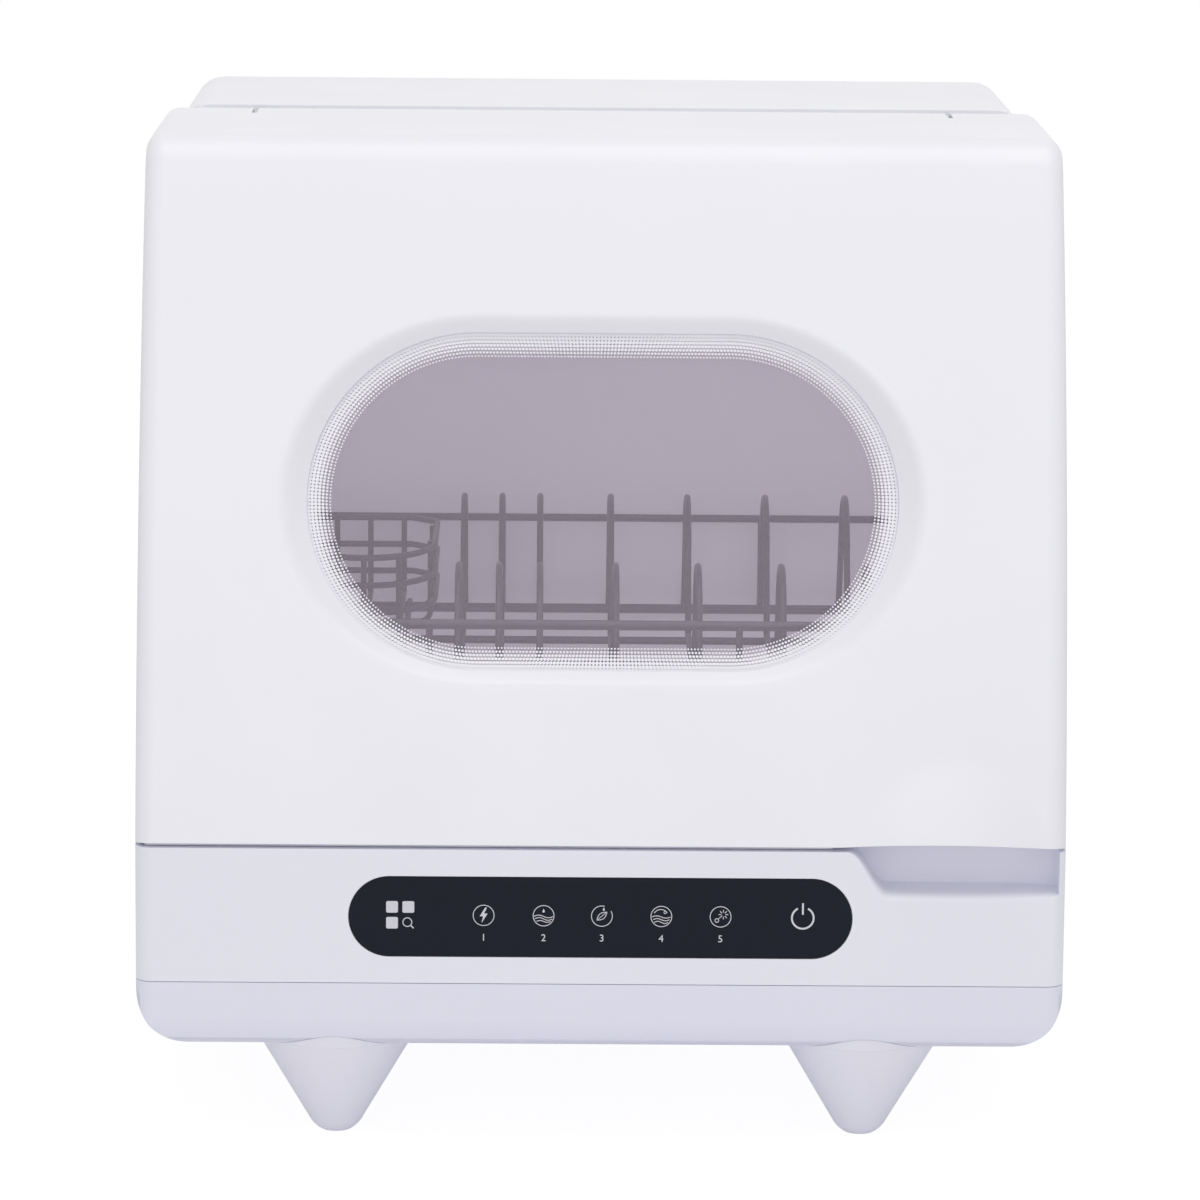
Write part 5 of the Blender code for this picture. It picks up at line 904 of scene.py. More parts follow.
@dataclass
class Base:
    """Base pan, housing with the finger recess, and four tapered feet."""

    body: str = "cabinet"
    side_round: float = 0.027
    front_round: float = 0.014
    notch_start: float = 0.1066
    notch_length: float = 0.0179
    notch_depth: float = 0.0183
    notch_reach: float = 0.024
    notch_wall: float = 0.0032
    notch_corner: float = 0.012
    lip_depth: float = 0.0045
    lip_drop: float = 0.0034
    foot_x: float = 0.115
    foot_inset: float = 0.0385
    foot_slope: float = radians(27)
    foot_shoulder: float = 0.0338
    foot_flare: float = 0.0014
    foot_collar: float = 0.011     # runs up inside the pan, before it is cut to the pan's curve
    tip_radius: float = 0.0135
    tip_flat: float = 0.0065
    vent_pitch: float = 0.014
    vent_half: float = 0.002
    vent_front: float = 0.09
    vent_back: float = 0.13
    port_half_x: float = 0.13      # opening in the housing's deck
    port_half_y: float = 0.125
    seat_depth: float = 0.0018

    def pan_form(self, inset: float) -> bpy.types.Object:
        """The pan's outer or inner form."""
        low, high = PAN_Z + inset, SEAM_Z + (0.01 if inset else 0)
        width, front, back = HALF_WIDTH - inset, FRONT + inset, BACK - inset
        solid = extruded("pan_form", [span(-width, width, front, back, CORNER - inset)], low, high, PLAN)
        tall = high + 0.01
        side, ends = self.side_round - inset, self.front_round - inset
        flanks = [(width, tall), (-width, tall)] + arc((-width + side, low + side), side, pi, 1.5 * pi, 16)
        flanks += arc((width - side, low + side), side, 1.5 * pi, 2 * pi, 16)
        run = [(back, tall), (front, tall)] + arc((front + ends, low + ends), ends, pi, 1.5 * pi, 10)
        run += arc((back - ends, low + ends), ends, 1.5 * pi, 2 * pi, 10)
        reach = BACK + HALF_WIDTH
        combine(solid, extruded("flanks", [flanks], -reach, reach, FACE), "INTERSECT")
        return combine(solid, extruded("ends", [run], -reach, reach, SIDE), "INTERSECT")

    def notch_form(self, grow: float) -> bpy.types.Object:
        """The finger recess, whose front outline falls in a smooth S to a flat floor."""
        steps = 28
        points = [(self.notch_start + self.notch_length * i / steps - grow,
                   DECK_Z - self.notch_depth * (1 - cos(pi * i / steps)) / 2 - grow) for i in range(steps + 1)]
        end = HALF_WIDTH - self.notch_wall + grow
        points += [(end, DECK_Z - self.notch_depth - grow), (end, DECK_Z + 0.01),
                   (self.notch_start - grow, DECK_Z + 0.01)]
        back = -FRONT - self.notch_reach - grow
        solid = extruded("notch_form", [points], back, -FRONT + 0.02 - 2 * grow, FACE)
        low_y, rear, radius = FRONT - 0.03, FRONT + self.notch_reach + grow, self.notch_corner + grow
        plan = [(self.notch_start - 0.01, low_y), (end, low_y)]
        plan += arc((end - radius, rear - radius), radius, 0, pi / 2, 16) + [(self.notch_start - 0.01, rear)]
        return combine(solid, extruded("notch_plan", [plan], SEAM_Z, DECK_Z + 0.02, PLAN), "INTERSECT")

    def notch_lip(self) -> bpy.types.Object:
        """Cutter for the round between the recess and the front face, wider along the floor."""
        steps, floor = 40, DECK_Z - self.notch_depth
        line: list[tuple[float, float, float, float]] = []
        for i in range(steps + 1):
            x = self.notch_start + self.notch_length * i / steps
            z = DECK_Z - self.notch_depth * (1 - cos(pi * i / steps)) / 2
            slope = -self.notch_depth * pi / 2 * sin(pi * i / steps) / self.notch_length
            size = hypot(slope, 1)
            fade = min(1.0, 0.15 + i / steps)  # the round grows from a seventh of its size at the top of the S
            line.append((x, z, slope / size * fade * 0.6, -fade / size))
        end = HALF_WIDTH - self.notch_wall
        line += [(end, floor, 0.25, -1.0), (end, DECK_Z + 0.01, 0.25, 0.0)]
        bm = bmesh.new()
        levels = []
        for k in range(13):
            share = 1 - cos(pi / 2 * k / 12)
            levels.append((self.lip_depth * share, self.lip_drop * (1 - (1 - (1 - share) ** 2) ** 0.5)))
        levels.append((-0.002, self.lip_drop))
        levels.sort(reverse=True)
        rings = []
        for depth, grow in levels:
            points = [(x + u * grow, z + v * grow) for x, z, u, v in line]
            points.append((self.notch_start - 0.0001, DECK_Z + 0.01))
            rings.append([bm.verts.new(FACE @ Vector((x, z, -FRONT - depth))) for x, z in points])
        for lower, upper in zip(rings, rings[1:]):
            for i in range(len(lower)):
                j = (i + 1) % len(lower)
                bm.faces.new((lower[i], lower[j], upper[j], upper[i]))
        bm.faces.new(rings[0])
        bm.faces.new(rings[-1])
        return from_bmesh("notch_lip", bm)

    def housing(self) -> bpy.types.Object:
        """The housing with its rounded recess lip, panel seat and hollow inside."""
        outer = extruded("base_housing_skin", [span(-HALF_WIDTH, HALF_WIDTH, FRONT, BACK, CORNER, 12)],
                         SEAM_Z + GAP, DECK_Z, PLAN)
        cut(outer, self.notch_form(0), self.notch_lip())
        inside = extruded("housing_hollow", [span(-HALF_WIDTH + WALL, HALF_WIDTH - WALL, FRONT + WALL + 0.001,
                                                  BACK - WALL, CORNER - WALL, 4)], SEAM_Z - 0.01, DECK_Z - WALL,
                          PLAN)
        cut(inside, self.notch_form(WALL + 0.001))
        cut(outer, inside)
        seat = PANEL_HALF_HEIGHT + GAP
        cut(outer, extruded("panel_seat", [span(-PANEL_HALF_LENGTH - GAP, PANEL_HALF_LENGTH + GAP, PANEL_Z - seat,
                                                PANEL_Z + seat, seat, 24)],
                            -FRONT - self.seat_depth, -FRONT + WALL, FACE))
        port = span(-self.port_half_x, self.port_half_x, -self.port_half_y, self.port_half_y, CORNER, 3)
        return cut(outer, extruded("deck_port", [port], DECK_Z - 2 * WALL, DECK_Z + WALL, PLAN))

    def foot(self, name: str, x: float, y: float) -> bpy.types.Object:
        """One tapered foot with a rounded tip and a small fillet, cut to the pan's curved underside."""
        lowest = -acos(self.tip_flat / self.tip_radius)
        tip = arc((0, self.tip_radius), self.tip_radius, -self.foot_slope, lowest, 10)
        sunk, top = tip[-1][1], PAN_Z + self.foot_collar
        shoulder, flare = self.foot_shoulder, self.foot_flare
        root = [(shoulder + flare * (1 - sin(turn)), PAN_Z - 1.6 * flare * (1 - cos(turn)))
                for turn in (pi / 2 * i / 8 for i in range(9))]
        profile = [(0, top), (shoulder + flare, top), *root,
                   *[(radius, z - sunk) for radius, z in tip], (0, 0)]
        foot = turned(name, profile, Matrix.Translation((x, y, 0)), 96)
        return cut(foot, self.pan_form(-0.0001))

    def build(self) -> None:
        """Pan, housing and feet."""
        pan = self.pan_form(0)
        cut(pan, self.pan_form(WALL))
        for i in range(4):
            x = (i - 1.5) * self.vent_pitch
            slot = span(x - self.vent_half, x + self.vent_half, self.vent_front, self.vent_back, 0.0019, 4)
            cut(pan, extruded("pan_vent", [slot], PAN_Z - WALL, PAN_Z + 2 * WALL, PLAN))
        pan.name = "base_pan_skin"
        # Pan, housing and feet take the deeper whites, whose colour holds painted shade
        dress(pan, PAN_ABS_PAINTED_SHADE, self.body, "base_pan", edge=0.0004, sharp=50)
        dress(self.housing(), BASE_ABS_PAINTED_SHADE, self.body, "base_housing", edge=0.0008, sharp=40)
        front, back = FRONT + self.foot_inset, BACK - self.foot_inset
        for end, y in (("front", front), ("rear", back)):
            for side, x in (("left", -self.foot_x), ("right", self.foot_x)):
                node = f"foot_{end}_{side}"
                dress(self.foot(node + "_skin", x, y), FOOT_ABS_PAINTED_SHADE, self.body, node)


@dataclass
class ControlPanel:
    """The black touch panel with its printed icons."""

    frame: dict
    body: str = "cabinet"
    thickness: float = 0.0015
    ink: float = 0.00006           # half the height of a printed layer
    line: float = 0.00032          # width of a printed line
    icon_radius: float = 0.0045
    icon_columns: tuple[float, ...] = (-0.0503, -0.0245, 0.0006, 0.0262, 0.0517)
    select_x: float = -0.0862
    power_x: float = 0.0871
    power_drop: float = 0.0003
    icon_rise: float = 0.0007
    numeral_size: float = 0.0044
    numeral_drop: float = 0.0105
    pieces: list[bpy.types.Object] = field(default_factory=list)

    def fill(self, outlines: Sequence[Sequence[Point]]) -> None:
        """Print a filled shape, with holes if more outlines follow."""
        self.pieces.append(extruded("ink", outlines, -FRONT - self.ink, -FRONT + self.ink, FACE))

    def ring(self, x: float, z: float, radius: float, line: float, start: float = 0.0, end: float = 2 * pi) -> None:
        """Print a ring, or a part of one."""
        half = line / 2
        if end - start > 1.999 * pi:
            self.fill([arc((x, z), size, 0, 2 * pi, 40)[:-1] for size in (radius + half, radius - half)])
        else:
            self.fill([arc((x, z), radius + half, start, end, 30) + arc((x, z), radius - half, end, start, 30)])

    def stroke(self, points: Sequence[Point], line: float) -> None:
        """Print a line of even width through points."""
        left: list[Point] = []
        right: list[Point] = []
        for i, (x, z) in enumerate(points):
            before, after = points[max(i - 1, 0)], points[min(i + 1, len(points) - 1)]
            dx, dz = after[0] - before[0], after[1] - before[1]
            size = hypot(dx, dz)
            left.append((x - dz / size * line / 2, z + dx / size * line / 2))
            right.append((x + dz / size * line / 2, z - dx / size * line / 2))
        self.fill([left + right[::-1]])

    def wave(self, x: float, z: float, half: float, rise: float) -> None:
        """Print one wavy line."""
        self.stroke([(x - half + 2 * half * i / 12, z + rise * sin(2 * pi * i / 12)) for i in range(13)], self.line)

    def drop(self, x: float, z: float, size: float) -> None:
        """Print a drop of water."""
        self.fill([arc((x, z), size, -pi * 1.15, pi * 0.15, 12) + [(x, z + 2.4 * size)]])

    def select_icon(self, x: float, z: float) -> None:
        """Three rounded squares and a lens."""
        half, step = 0.00255, 0.0035
        for sx, sz in ((-1, 1), (1, 1), (-1, -1)):
            cx, cz = x + sx * step, z + sz * step
            self.fill([span(cx - half, cx + half, cz - half, cz + half, 0.0007, 4)])
        self.ring(x + step - 0.0004, z - step + 0.0003, 0.0019, self.line * 1.2)
        self.stroke([(x + step + 0.001, z - step - 0.0011), (x + step + 0.0023, z - step - 0.0024)], self.line * 1.6)

    def bolt_icon(self, x: float, z: float) -> None:
        """A bolt in a ring."""
        self.ring(x, z, self.icon_radius, self.line)
        shape = ((0.0006, 0.0034), (-0.0017, -0.0004), (-0.0002, -0.0004), (-0.0009, -0.0034), (0.0017, 0.0008),
                 (0.0002, 0.0008), (0.0014, 0.0034))
        self.fill([[(x + u, z + v) for u, v in shape]])

    def strong_icon(self, x: float, z: float) -> None:
        """A drop over waves in a ring."""
        self.ring(x, z, self.icon_radius, self.line)
        self.drop(x, z + 0.0019, 0.0005)
        self.wave(x, z - 0.0003, 0.0041, 0.0006)
        self.wave(x, z - 0.0014, 0.0038, 0.0006)
        self.wave(x, z - 0.0025, 0.0030, 0.0004)

    def leaf_icon(self, x: float, z: float) -> None:
        """A leaf in a ring that opens at its top right."""
        self.ring(x, z, self.icon_radius, self.line, radians(75), radians(390))
        tips = [(x - 0.0022 + 0.0044 * i / 10, z - 0.0018 + 0.0036 * i / 10) for i in range(11)]
        bow = [0.0013 * sin(pi * i / 10) for i in range(11)]
        upper = [(u - 0.63 * b, v + 0.77 * b) for (u, v), b in zip(tips, bow)]
        lower = [(u + 0.63 * b, v - 0.77 * b) for (u, v), b in zip(tips, bow)]
        self.stroke(upper, self.line)
        self.stroke(lower, self.line)
        self.stroke(tips, self.line * 0.8)
        self.drop(x + 0.0008, z + 0.0028, 0.00045)

    def rinse_icon(self, x: float, z: float) -> None:
        """Waves below a bubble in a ring."""
        self.ring(x, z, self.icon_radius, self.line)
        for i in range(3):
            self.wave(x, z - 0.0002 - 0.0012 * i, 0.0040 - 0.0005 * i, 0.0005)
        self.stroke(arc((x - 0.0002, z - 0.0002), 0.0033, radians(35), radians(150), 12), self.line)
        self.ring(x + 0.0016, z + 0.0018, 0.0005, self.line * 0.8)

    def hygiene_icon(self, x: float, z: float) -> None:
        """A star burst and a germ in a ring."""
        self.ring(x, z, self.icon_radius, self.line)
        for i in range(8):
            angle = pi * i / 4
            self.stroke([(x + 0.0012 + 0.0009 * cos(angle), z + 0.001 + 0.0009 * sin(angle)),
                         (x + 0.0012 + 0.0021 * cos(angle), z + 0.001 + 0.0021 * sin(angle))], self.line)
        self.ring(x - 0.0016, z - 0.0016, 0.0008, self.line)
        self.stroke([(x - 0.0010, z - 0.0010), (x + 0.0006, z + 0.0006)], self.line)

    def power_icon(self, x: float, z: float) -> None:
        """A ring open at the top with a bar in its opening."""
        self.ring(x, z, 0.0047, 0.0008, radians(118), radians(422))
        self.fill([span(x - 0.0004, x + 0.0004, z + 0.0014, z + 0.0066, 0.0003, 3)])

    def numeral(self, text: str, x: float, z: float) -> None:
        """Print a plain numeral."""
        curve = bpy.data.curves.new("numeral", "FONT")
        curve.body = text
        curve.size = self.numeral_size
        curve.align_x = "CENTER"
        curve.extrude = self.ink
        shape = bpy.data.objects.new("numeral", curve)
        bpy.context.scene.collection.objects.link(shape)
        mesh = evaluated_mesh(shape)
        bpy.data.objects.remove(shape, do_unlink=True)
        mesh.transform(FACE @ Matrix.Translation((x, z, -FRONT)))
        self.pieces.append(link("numeral", mesh))

    def build(self) -> None:
        """Panel, icons and the boards behind."""
        outline = span(-PANEL_HALF_LENGTH, PANEL_HALF_LENGTH, PANEL_Z - PANEL_HALF_HEIGHT,
                       PANEL_Z + PANEL_HALF_HEIGHT, PANEL_HALF_HEIGHT, 24)
        panel = extruded("control_panel_skin", [outline], -FRONT - self.thickness, -FRONT - 0.0001, FACE)
        dress(panel, BLACK_PMMA, self.body, "control_panel", edge=0.0002)
        level = PANEL_Z + self.icon_rise
        self.select_icon(self.select_x, level)
        icons = (self.bolt_icon, self.strong_icon, self.leaf_icon, self.rinse_icon, self.hygiene_icon)
        for x, icon in zip(self.icon_columns, icons):
            icon(x, level)
        self.power_icon(self.power_x, level - self.power_drop)
        for number, x in enumerate(self.icon_columns, 1):
            self.numeral(str(number), x, PANEL_Z - self.numeral_drop)
        inks = merged("control_panel_icons", self.pieces)
        dress(inks, PANEL_INK, self.body)
        for node in ("control_board", "power_board"):
            reskin(self.frame, node, FR4, self.body)


@dataclass
class Cabinet:
    """Top cover, side panels, rear cover with louvres and screws."""

    frame: dict
    body: str = "cabinet"
    cover_front: float = 0.034
    radius: float = 0.014
    louvre_rows: int = 4
    louvre_low: float = 0.335
    louvre_pitch: float = 0.012
    louvre_height: float = 0.004
    louvre_x: float = 0.1
    louvre_half: float = 0.03
    service_z: float = 0.175
    service_holes: tuple[Point, ...] = ((0.15, 0.0095), (0.115, 0.0095), (-0.15, 0.008))  # x and radius
    screw_levels: tuple[float, ...] = (0.15, 0.27, 0.39)
    screw_x: float = 0.172
    inner_screw_x: float = 0.06

    def cover_form(self, inset: float) -> bpy.types.Object:
        """The top cover's outer or inner form."""
        low = COVER_Z - (0.02 if inset else 0)
        half, back, high = BODY_HALF_WIDTH - inset, BACK - inset, TOP_Z - inset
        front = self.cover_front + inset
        outline = [(-half, front), (half, front), (half, back), (-half, back)]
        solid = extruded("cover_form", [outline], low, high, PLAN)

        def outer_edges(middle: Vector, direction: Vector) -> bool:
            side = abs(abs(middle.x) - half) < 1e-5 and middle.z > high - 1e-5
            rear = abs(middle.y - back) < 1e-5
            return side or (rear and (middle.z > high - 1e-5 or abs(direction.z) > 0.99))

        return round_edges(solid, outer_edges, self.radius - inset, 12)

    def rear(self) -> bpy.types.Object:
        """The rear cover, wrapped round both rear corners, with louvre slots and service holes."""

        def plan(inset: float) -> list[Point]:
            half, back, radius = BODY_HALF_WIDTH - inset, BACK - inset, self.radius - inset
            return ([(half, BACK - self.radius)] + arc((half - radius, back - radius), radius, 0, pi / 2, 12)[1:]
                    + arc((-half + radius, back - radius), radius, pi / 2, pi, 12)[:-1]
                    + [(-half, BACK - self.radius)])

        rear = extruded("rear_cover_skin", [plan(0) + plan(WALL)[::-1]], DECK_Z + GAP, COVER_Z - GAP, PLAN)
        for row in range(self.louvre_rows):
            z = self.louvre_low + row * self.louvre_pitch
            for x in (-self.louvre_x, self.louvre_x):
                slot = span(x - self.louvre_half, x + self.louvre_half, z, z + self.louvre_height, 0.0019, 4)
                cut(rear, extruded("rear_louvre", [slot], -BACK - WALL, -BACK + 2 * WALL, FACE))
        deep = 4 * WALL
        for x, radius in self.service_holes:
            place = Matrix.Translation((x, BACK - deep, self.service_z)) @ Matrix.Rotation(-pi / 2, 4, "X")
            hole = [(0, 0), (radius + GAP, 0), (radius + GAP, 2 * deep), (0, 2 * deep)]
            cut(rear, turned("service_hole", hole, place, 40))
        return rear

    def screw(self) -> bpy.types.Object:
        """One pan-head screw with a cross recess, standing on z = 0."""
        dome = [(0, 0.0016), (0.0012, 0.0015), (0.0022, 0.0011), (0.0029, 0.0004), (0.003, 0), (0, 0)]
        head = turned("screw_model", dome, Matrix(), 20)
        arm, half = 0.0016, 0.00035
        cross = [(arm, -half), (arm, half), (half, half), (half, arm), (-half, arm), (-half, half), (-arm, half),
                 (-arm, -half), (-half, -half), (-half, -arm), (half, -arm), (half, -half)]
        return cut(head, extruded("screw_cross", [cross], 0.0006, 0.003, PLAN))

    def build(self) -> None:
        """Covers, panels and screws."""
        cover = self.cover_form(0)
        cut(cover, self.cover_form(WALL))
        cover.name = "top_cover_skin"
        dress(cover, WHITE_ABS, self.body, "top_cover", edge=0.0008, sharp=50)
        dress(self.rear(), WHITE_ABS, self.body, "rear_cover", edge=0.0004, sharp=50)
        for side in ("left", "right"):
            reskin(self.frame, side + "_side_panel", WHITE_ABS, self.body, edge=0.0004)
        model = self.screw()
        places = [(x, BACK, z) for x in (-self.screw_x, self.screw_x) for z in self.screw_levels]
        places += [(x, BACK, z) for x in (-self.inner_screw_x, self.inner_screw_x) for z in self.screw_levels[::2]]
        facing = [(0.0, 1.0, 0.0)] * len(places)
        heads = grown(point_mesh("rear_cover_screws", places, "facing", "FLOAT_VECTOR", facing),
                      repeat_tree("screws_on_cover", model), ZINC, {"Scale": 1.0})
        bpy.data.objects.remove(model, do_unlink=True)
        dress(heads, ZINC, self.body)


@dataclass
class Rack:
    """The wire rack with two rows of plate arches, and its cutlery basket."""

    body: str = "rack"
    half_width: float = 0.148
    front: float = -0.15
    back: float = 0.136
    floor: float = 0.182
    rim: float = 0.2235
    rail: float = 0.17935
    inner_side: float = 0.138
    wire: float = 0.0015
    rail_wire: float = 0.00185
    arch_top: float = 0.2425
    spread: float = 0.082
    crown: float = 0.0255
    rim_corner: float = 0.016
    floor_corner: float = 0.012
    side_bend: float = 0.009
    rows: tuple[float, ...] = (-0.103, 0.09)
    arches: tuple[float, ...] = (-0.063, -0.045, -0.027, 0.0065, 0.043, 0.08, 0.118)
    flat_wires: tuple[float, ...] = (-0.12, -0.09)         # under the basket
    front_posts: tuple[float, ...] = (-0.075, 0.06)
    cross_wires: tuple[float, ...] = (-0.11, -0.01, 0.085)
    foot_turn: float = 0.012       # from an arch's foot to the wire's flat run
    foot_bend: float = 0.004
    basket_left: float = -0.141
    basket_right: float = -0.0765
    basket_corner: float = 0.058
    basket_bow: float = 0.042
    basket_chamfer: float = 0.012
    basket_rings: int = 3
    ring_pitch: float = 0.013
    upright: float = 0.00135
    upright_bend: float = 0.005
    weld: float = 0.0007           # how far two wires sink into each other
    tree: bpy.types.NodeTree | None = None

    def arch_path(self, x: float) -> list[Vector]:
        """One lengthways wire that rises into an arch in each row."""
        low, top = self.floor, self.arch_top - self.wire
        path: list[Vector] = [Vector((x, self.front, low))]
        for row in self.rows:
            front, back = row - self.spread / 2, row + self.spread / 2
            crown = arc((row, top - self.crown), self.crown, radians(172), radians(8), 22)
            path += bent([(x, front - self.foot_turn, low), (x, front, low), (x, *crown[0])], self.foot_bend, 5)
            path += [Vector((x, y, z)) for y, z in crown[1:-1]]
            path += bent([(x, *crown[-1]), (x, back, low), (x, back + self.foot_turn, low)], self.foot_bend, 5)
        path.append(Vector((x, self.back, low)))
        return path

    def bars(self, name: str, paths: Sequence[Sequence[Sequence[float]]], radius: float,
             closed: bool = False) -> bpy.types.Object:
        """Round bars along paths."""
        return grown(run_mesh(name, paths, closed), self.tree, NYLON_WIRE, {"Radius": radius, "Sides": 12})

    def build(self) -> None:
        """Rack and basket, each as one piece."""
        self.tree = wire_tree()
        lengthways: list = [self.arch_path(x) for x in self.arches]
        lengthways += [[(x, self.front, self.floor), (x, self.back, self.floor)] for x in self.flat_wires]
        posts = [[(x, self.back, self.rail), (x, self.back, self.rim)] for x in (self.arches[1], self.arches[5])]
        posts += [[(x, self.front, self.rail), (x, self.front, self.rim)] for x in self.front_posts]
        across: list = []
        for row in self.rows:
            for y in (row - self.spread / 2, row + self.spread / 2):
                across.append([(-self.inner_side, y, self.rail), (self.inner_side, y, self.rail)])
        for y in self.cross_wires:
            across.append(bent([(-self.half_width, y, self.rim), (-self.half_width, y, self.rail),
                                (self.half_width, y, self.rail), (self.half_width, y, self.rim)], self.side_bend, 8))
        loops = [[(x, y, level) for x, y in span(-half, half, self.front, self.back, corner)]
                 for half, corner, level in ((self.half_width, self.rim_corner, self.rim),
                                             (self.inner_side, self.floor_corner, self.rail))]
        rack = merged("dish_rack_wires", [
            self.bars("rack_lengthways", lengthways, self.wire), self.bars("rack_posts", posts, self.wire),
            self.bars("rack_across", across, self.rail_wire), self.bars("rack_loops", loops, self.rail_wire, True)])
        dress(rack, NYLON_WIRE, self.body, "dish_rack", sharp=60)
        self.basket()

    def basket(self) -> None:
        """Cutlery basket: bowed rings on upright wires."""
        back = self.back - self.rail_wire - self.wire - GAP
        half = (self.basket_right - self.basket_left) / 2
        middle = (self.basket_right + self.basket_left) / 2
        chamfer, upright = self.basket_chamfer, self.upright
        front = [(middle - half * cos(pi * i / 24), self.basket_corner - self.basket_bow * sin(pi * i / 24))
                 for i in range(25)]
        ring = front + [(self.basket_right, back - chamfer), (self.basket_right - chamfer, back),
                        (self.basket_left + chamfer, back), (self.basket_left, back - chamfer)]
        rings = [[(x, y, self.rim - i * self.ring_pitch) for x, y in ring] for i in range(self.basket_rings)]
        inward = self.wire + upright - self.weld
        floor = self.floor + self.wire + 3 * upright - self.weld + GAP
        end = self.rim + self.weld / 2
        hoops = []
        for x, y in front[8:17:4]:
            near, far = y + inward, back - inward
            hoops.append([(x, near, end), (x, near, floor), (x, far, floor), (x, far, end)])
        under = floor - 2 * upright + self.weld
        left, right = self.basket_left + inward, self.basket_right - inward
        for y in (self.basket_corner + 0.006, back - 2 * self.basket_chamfer):
            hoops.append([(left, y, end), (left, y, under), (right, y, under), (right, y, end)])
        uprights = [bent(hoop, self.upright_bend) for hoop in hoops]
        basket = merged("cutlery_basket_wires", [self.bars("basket_rings", rings, self.wire, True),
                                                 self.bars("basket_uprights", uprights, upright)])
        dress(basket, NYLON_WIRE, self.body, "cutlery_basket", sharp=60)


@dataclass
class Inside:
    """Tub, seals, spray parts, pumps, tank, hoses and rear connections, as smooth copies of their nodes."""

    frame: dict

    def finishes(self) -> dict[Finish, tuple[str, ...]]:
        """Which nodes each finish covers."""
        return {
            TUB_PP: ("tub", "tub_front_frame"),
            LINER_PP: ("left_rack_runner", "right_rack_runner", "float", "water_tank"),
            SILICONE: ("door_gasket",),
            STAINLESS: ("heater", "left_hinge_bracket", "right_hinge_bracket", "left_hinge_pin", "right_hinge_pin"),
            GREY_PP: ("lower_spray_arm", "upper_spray_arm", "lower_spray_spindle", "upper_spray_spindle", "sump",
                      "filter_cup", "float_guide", "wash_pump_housing", "drain_pump_housing", "wash_pump_impeller",
                      "drain_pump_impeller", "fan_housing", "fan_rotor", "spray_feed_pipe", "water_inlet",
                      "drain_outlet", "cord_inlet"),
            EPDM: ("drain_hose", "drain_inlet_hose", "fill_hose", "tank_hose", "wash_inlet_hose"),
            WINDING: ("wash_pump_motor", "drain_pump_motor"),
        }

    def build(self) -> None:
        """Dress every node on the body that carries it."""
        owner = {node: body for body, nodes in self.frame["record"]["behaviour"]["bodies"].items() for node in nodes}
        for finish, nodes in self.finishes().items():
            for node in nodes:
                reskin(self.frame, node, finish, owner[node])


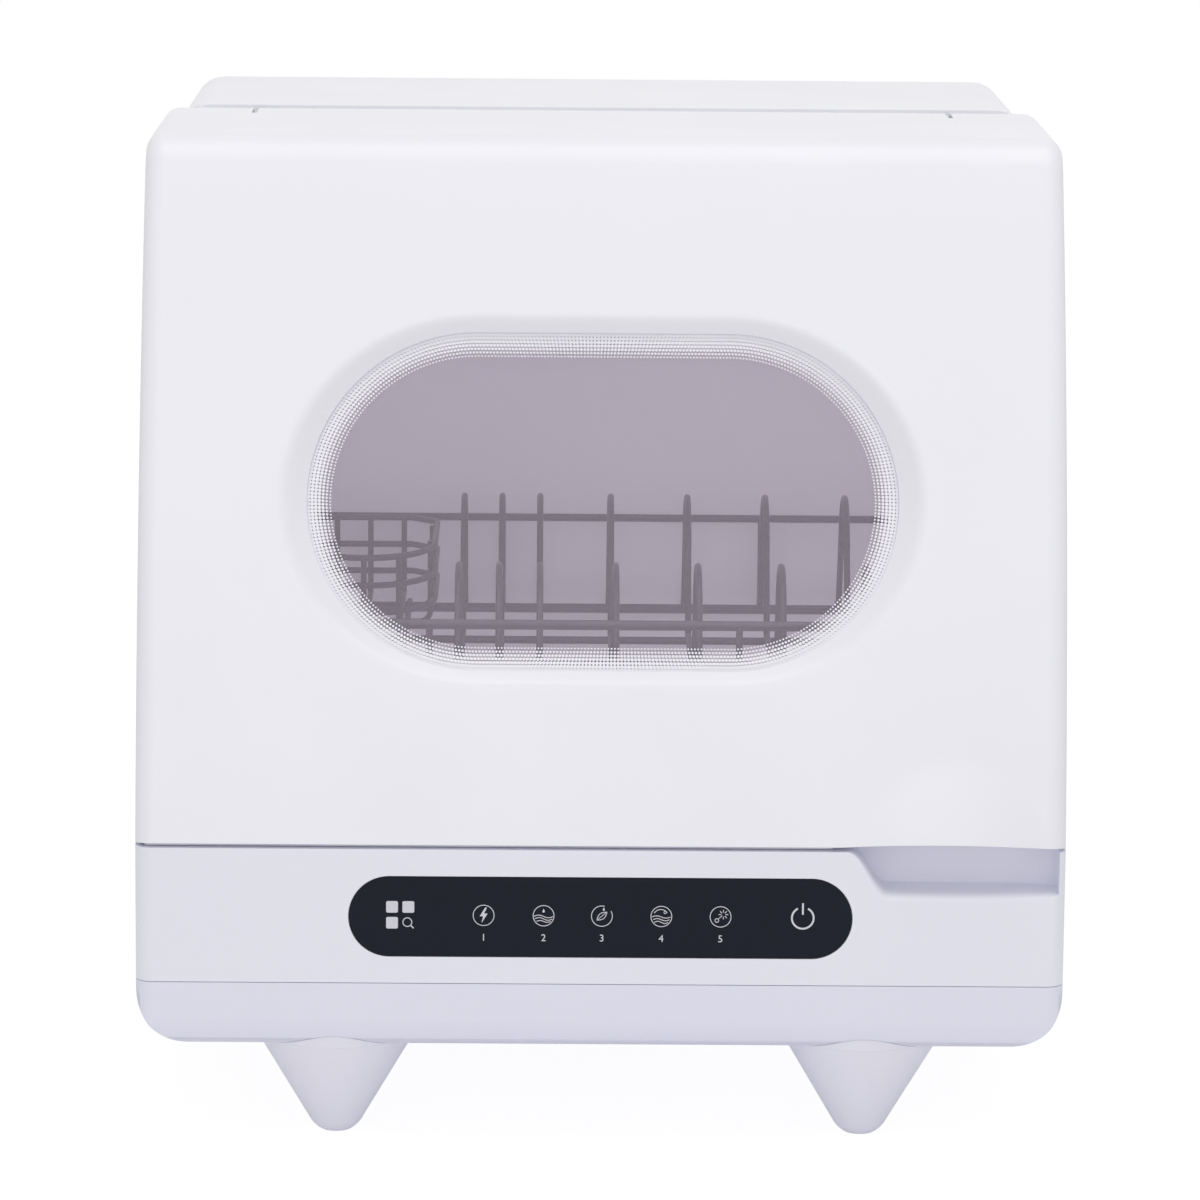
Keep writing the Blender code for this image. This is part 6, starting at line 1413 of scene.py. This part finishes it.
@dataclass
class Studio:
    """Camera at the photograph's angle, soft light, pale floor."""

    target: Point3 = (-0.00133, -0.19, 0.24142)
    distance: float = 2.45818
    elevation: float = radians(10.1564)
    azimuth: float = radians(0.645)
    roll: float = radians(0.5164)
    focal_px: float = 5744.55
    frame_px: float = 1200
    sensor_mm: float = 36

    def camera(self) -> None:
        """Place the camera."""
        ahead = Vector((sin(self.azimuth) * cos(self.elevation), cos(self.azimuth) * cos(self.elevation),
                        -sin(self.elevation)))
        right = ahead.cross(Vector((0, 0, 1))).normalized()
        up = right.cross(ahead)
        tilted_right = right * cos(self.roll) + up * sin(self.roll)
        tilted_up = up * cos(self.roll) - right * sin(self.roll)
        data = bpy.data.cameras.new("photograph_camera")
        data.sensor_width = self.sensor_mm
        data.lens = self.focal_px / self.frame_px * self.sensor_mm
        data.clip_end = 50
        seen = bpy.data.objects.new("photograph_camera", data)
        place = Vector(self.target) - ahead * self.distance
        turn = Matrix((tilted_right, tilted_up, -ahead)).transposed().to_4x4()
        seen.matrix_world = Matrix.Translation(place) @ turn
        bpy.context.scene.collection.objects.link(seen)
        bpy.context.scene.camera = seen

    def lamp(self, name: str, place: Point3, size: float, power: float, colour: str) -> None:
        """A square soft light that faces the object."""
        data = bpy.data.lights.new(name, "AREA")
        data.size = size
        data.energy = power
        data.color = linear(colour)[:3]
        light = bpy.data.objects.new(name, data)
        light.location = place
        aim = Vector((0, 0, 0.22)) - Vector(place)
        light.rotation_euler = aim.to_track_quat("-Z", "Y").to_euler()
        bpy.context.scene.collection.objects.link(light)

    def world(self) -> None:
        """An even sky that looks white to the camera, in gloss and through glass."""
        world = bpy.data.worlds.new("studio_white")
        bpy.context.scene.world = world
        world.use_nodes = True
        tree = world.node_tree
        path = add_node(tree, "ShaderNodeLightPath")
        seen = add_node(tree, "ShaderNodeMath", {0: path.outputs["Is Camera Ray"], 1: path.outputs["Is Glossy Ray"]},
                        operation="MAXIMUM")
        seen = add_node(tree, "ShaderNodeMath", {0: seen.outputs[0], 1: path.outputs["Is Transmission Ray"]},
                        operation="MAXIMUM")
        level = add_node(tree, "ShaderNodeMapRange", {0: seen.outputs[0], 3: 0.58, 4: 1.0})
        tree.links.new(level.outputs[0], tree.nodes["Background"].inputs["Strength"])
        tree.nodes["Background"].inputs["Color"].default_value = linear("#FFFFFF")

    def floor(self) -> None:
        """A pale floor that keeps a soft shadow."""
        bm = bmesh.new()
        bmesh.ops.create_grid(bm, x_segments=1, y_segments=1, size=6)
        floor = from_bmesh("studio_floor", bm, recalculate=False)
        made = bpy.data.materials.new("matte_white_sweep")
        made.use_nodes = True
        tree = made.node_tree
        shader = tree.nodes["Principled BSDF"]
        shader.inputs["Base Color"].default_value = linear("#F4F4F6")
        shader.inputs["Roughness"].default_value = 0.9
        glow = add_node(tree, "ShaderNodeEmission", {"Color": linear("#FFFFFF"), "Strength": 1.08})
        path = add_node(tree, "ShaderNodeLightPath")
        # Bright to the camera, and bright enough to the underside that it fills as over a lit sweep
        share = add_node(tree, "ShaderNodeMapRange", {0: path.outputs["Is Camera Ray"], 3: 0.14, 4: 0.85})
        mix = add_node(tree, "ShaderNodeMixShader", {0: share.outputs[0], 1: shader.outputs[0], 2: glow.outputs[0]})
        tree.links.new(mix.outputs[0], tree.nodes["Material Output"].inputs["Surface"])
        floor.data.materials.append(made)

    def build(self) -> None:
        """Everything round the object."""
        self.camera()
        self.world()
        self.floor()
        self.lamp("front_softbox", (-0.2, -2.6, 0.9), 1.8, 9.7, "#FFFFFF")
        self.lamp("top_softbox", (0.2, -0.6, 2.4), 1.8, 16.5, "#FFFFFF")
        scene = bpy.context.scene
        scene.view_settings.view_transform = "Standard"
        # A white tub behind a small window needs many bounces to fill with light
        scene.cycles.max_bounces = 16
        scene.cycles.diffuse_bounces = 12


def main() -> None:
    """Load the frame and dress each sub-assembly."""
    logging.basicConfig(level=logging.INFO, format="%(name)s %(message)s")
    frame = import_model()
    Studio().build()
    for part in (HoodDoor(frame), Base(), ControlPanel(frame), Cabinet(frame), Rack(), Inside(frame)):
        LOG.info("building %s", type(part).__name__)
        part.build()
    bpy.context.view_layer.update()


if __name__ == "__main__":
    main()
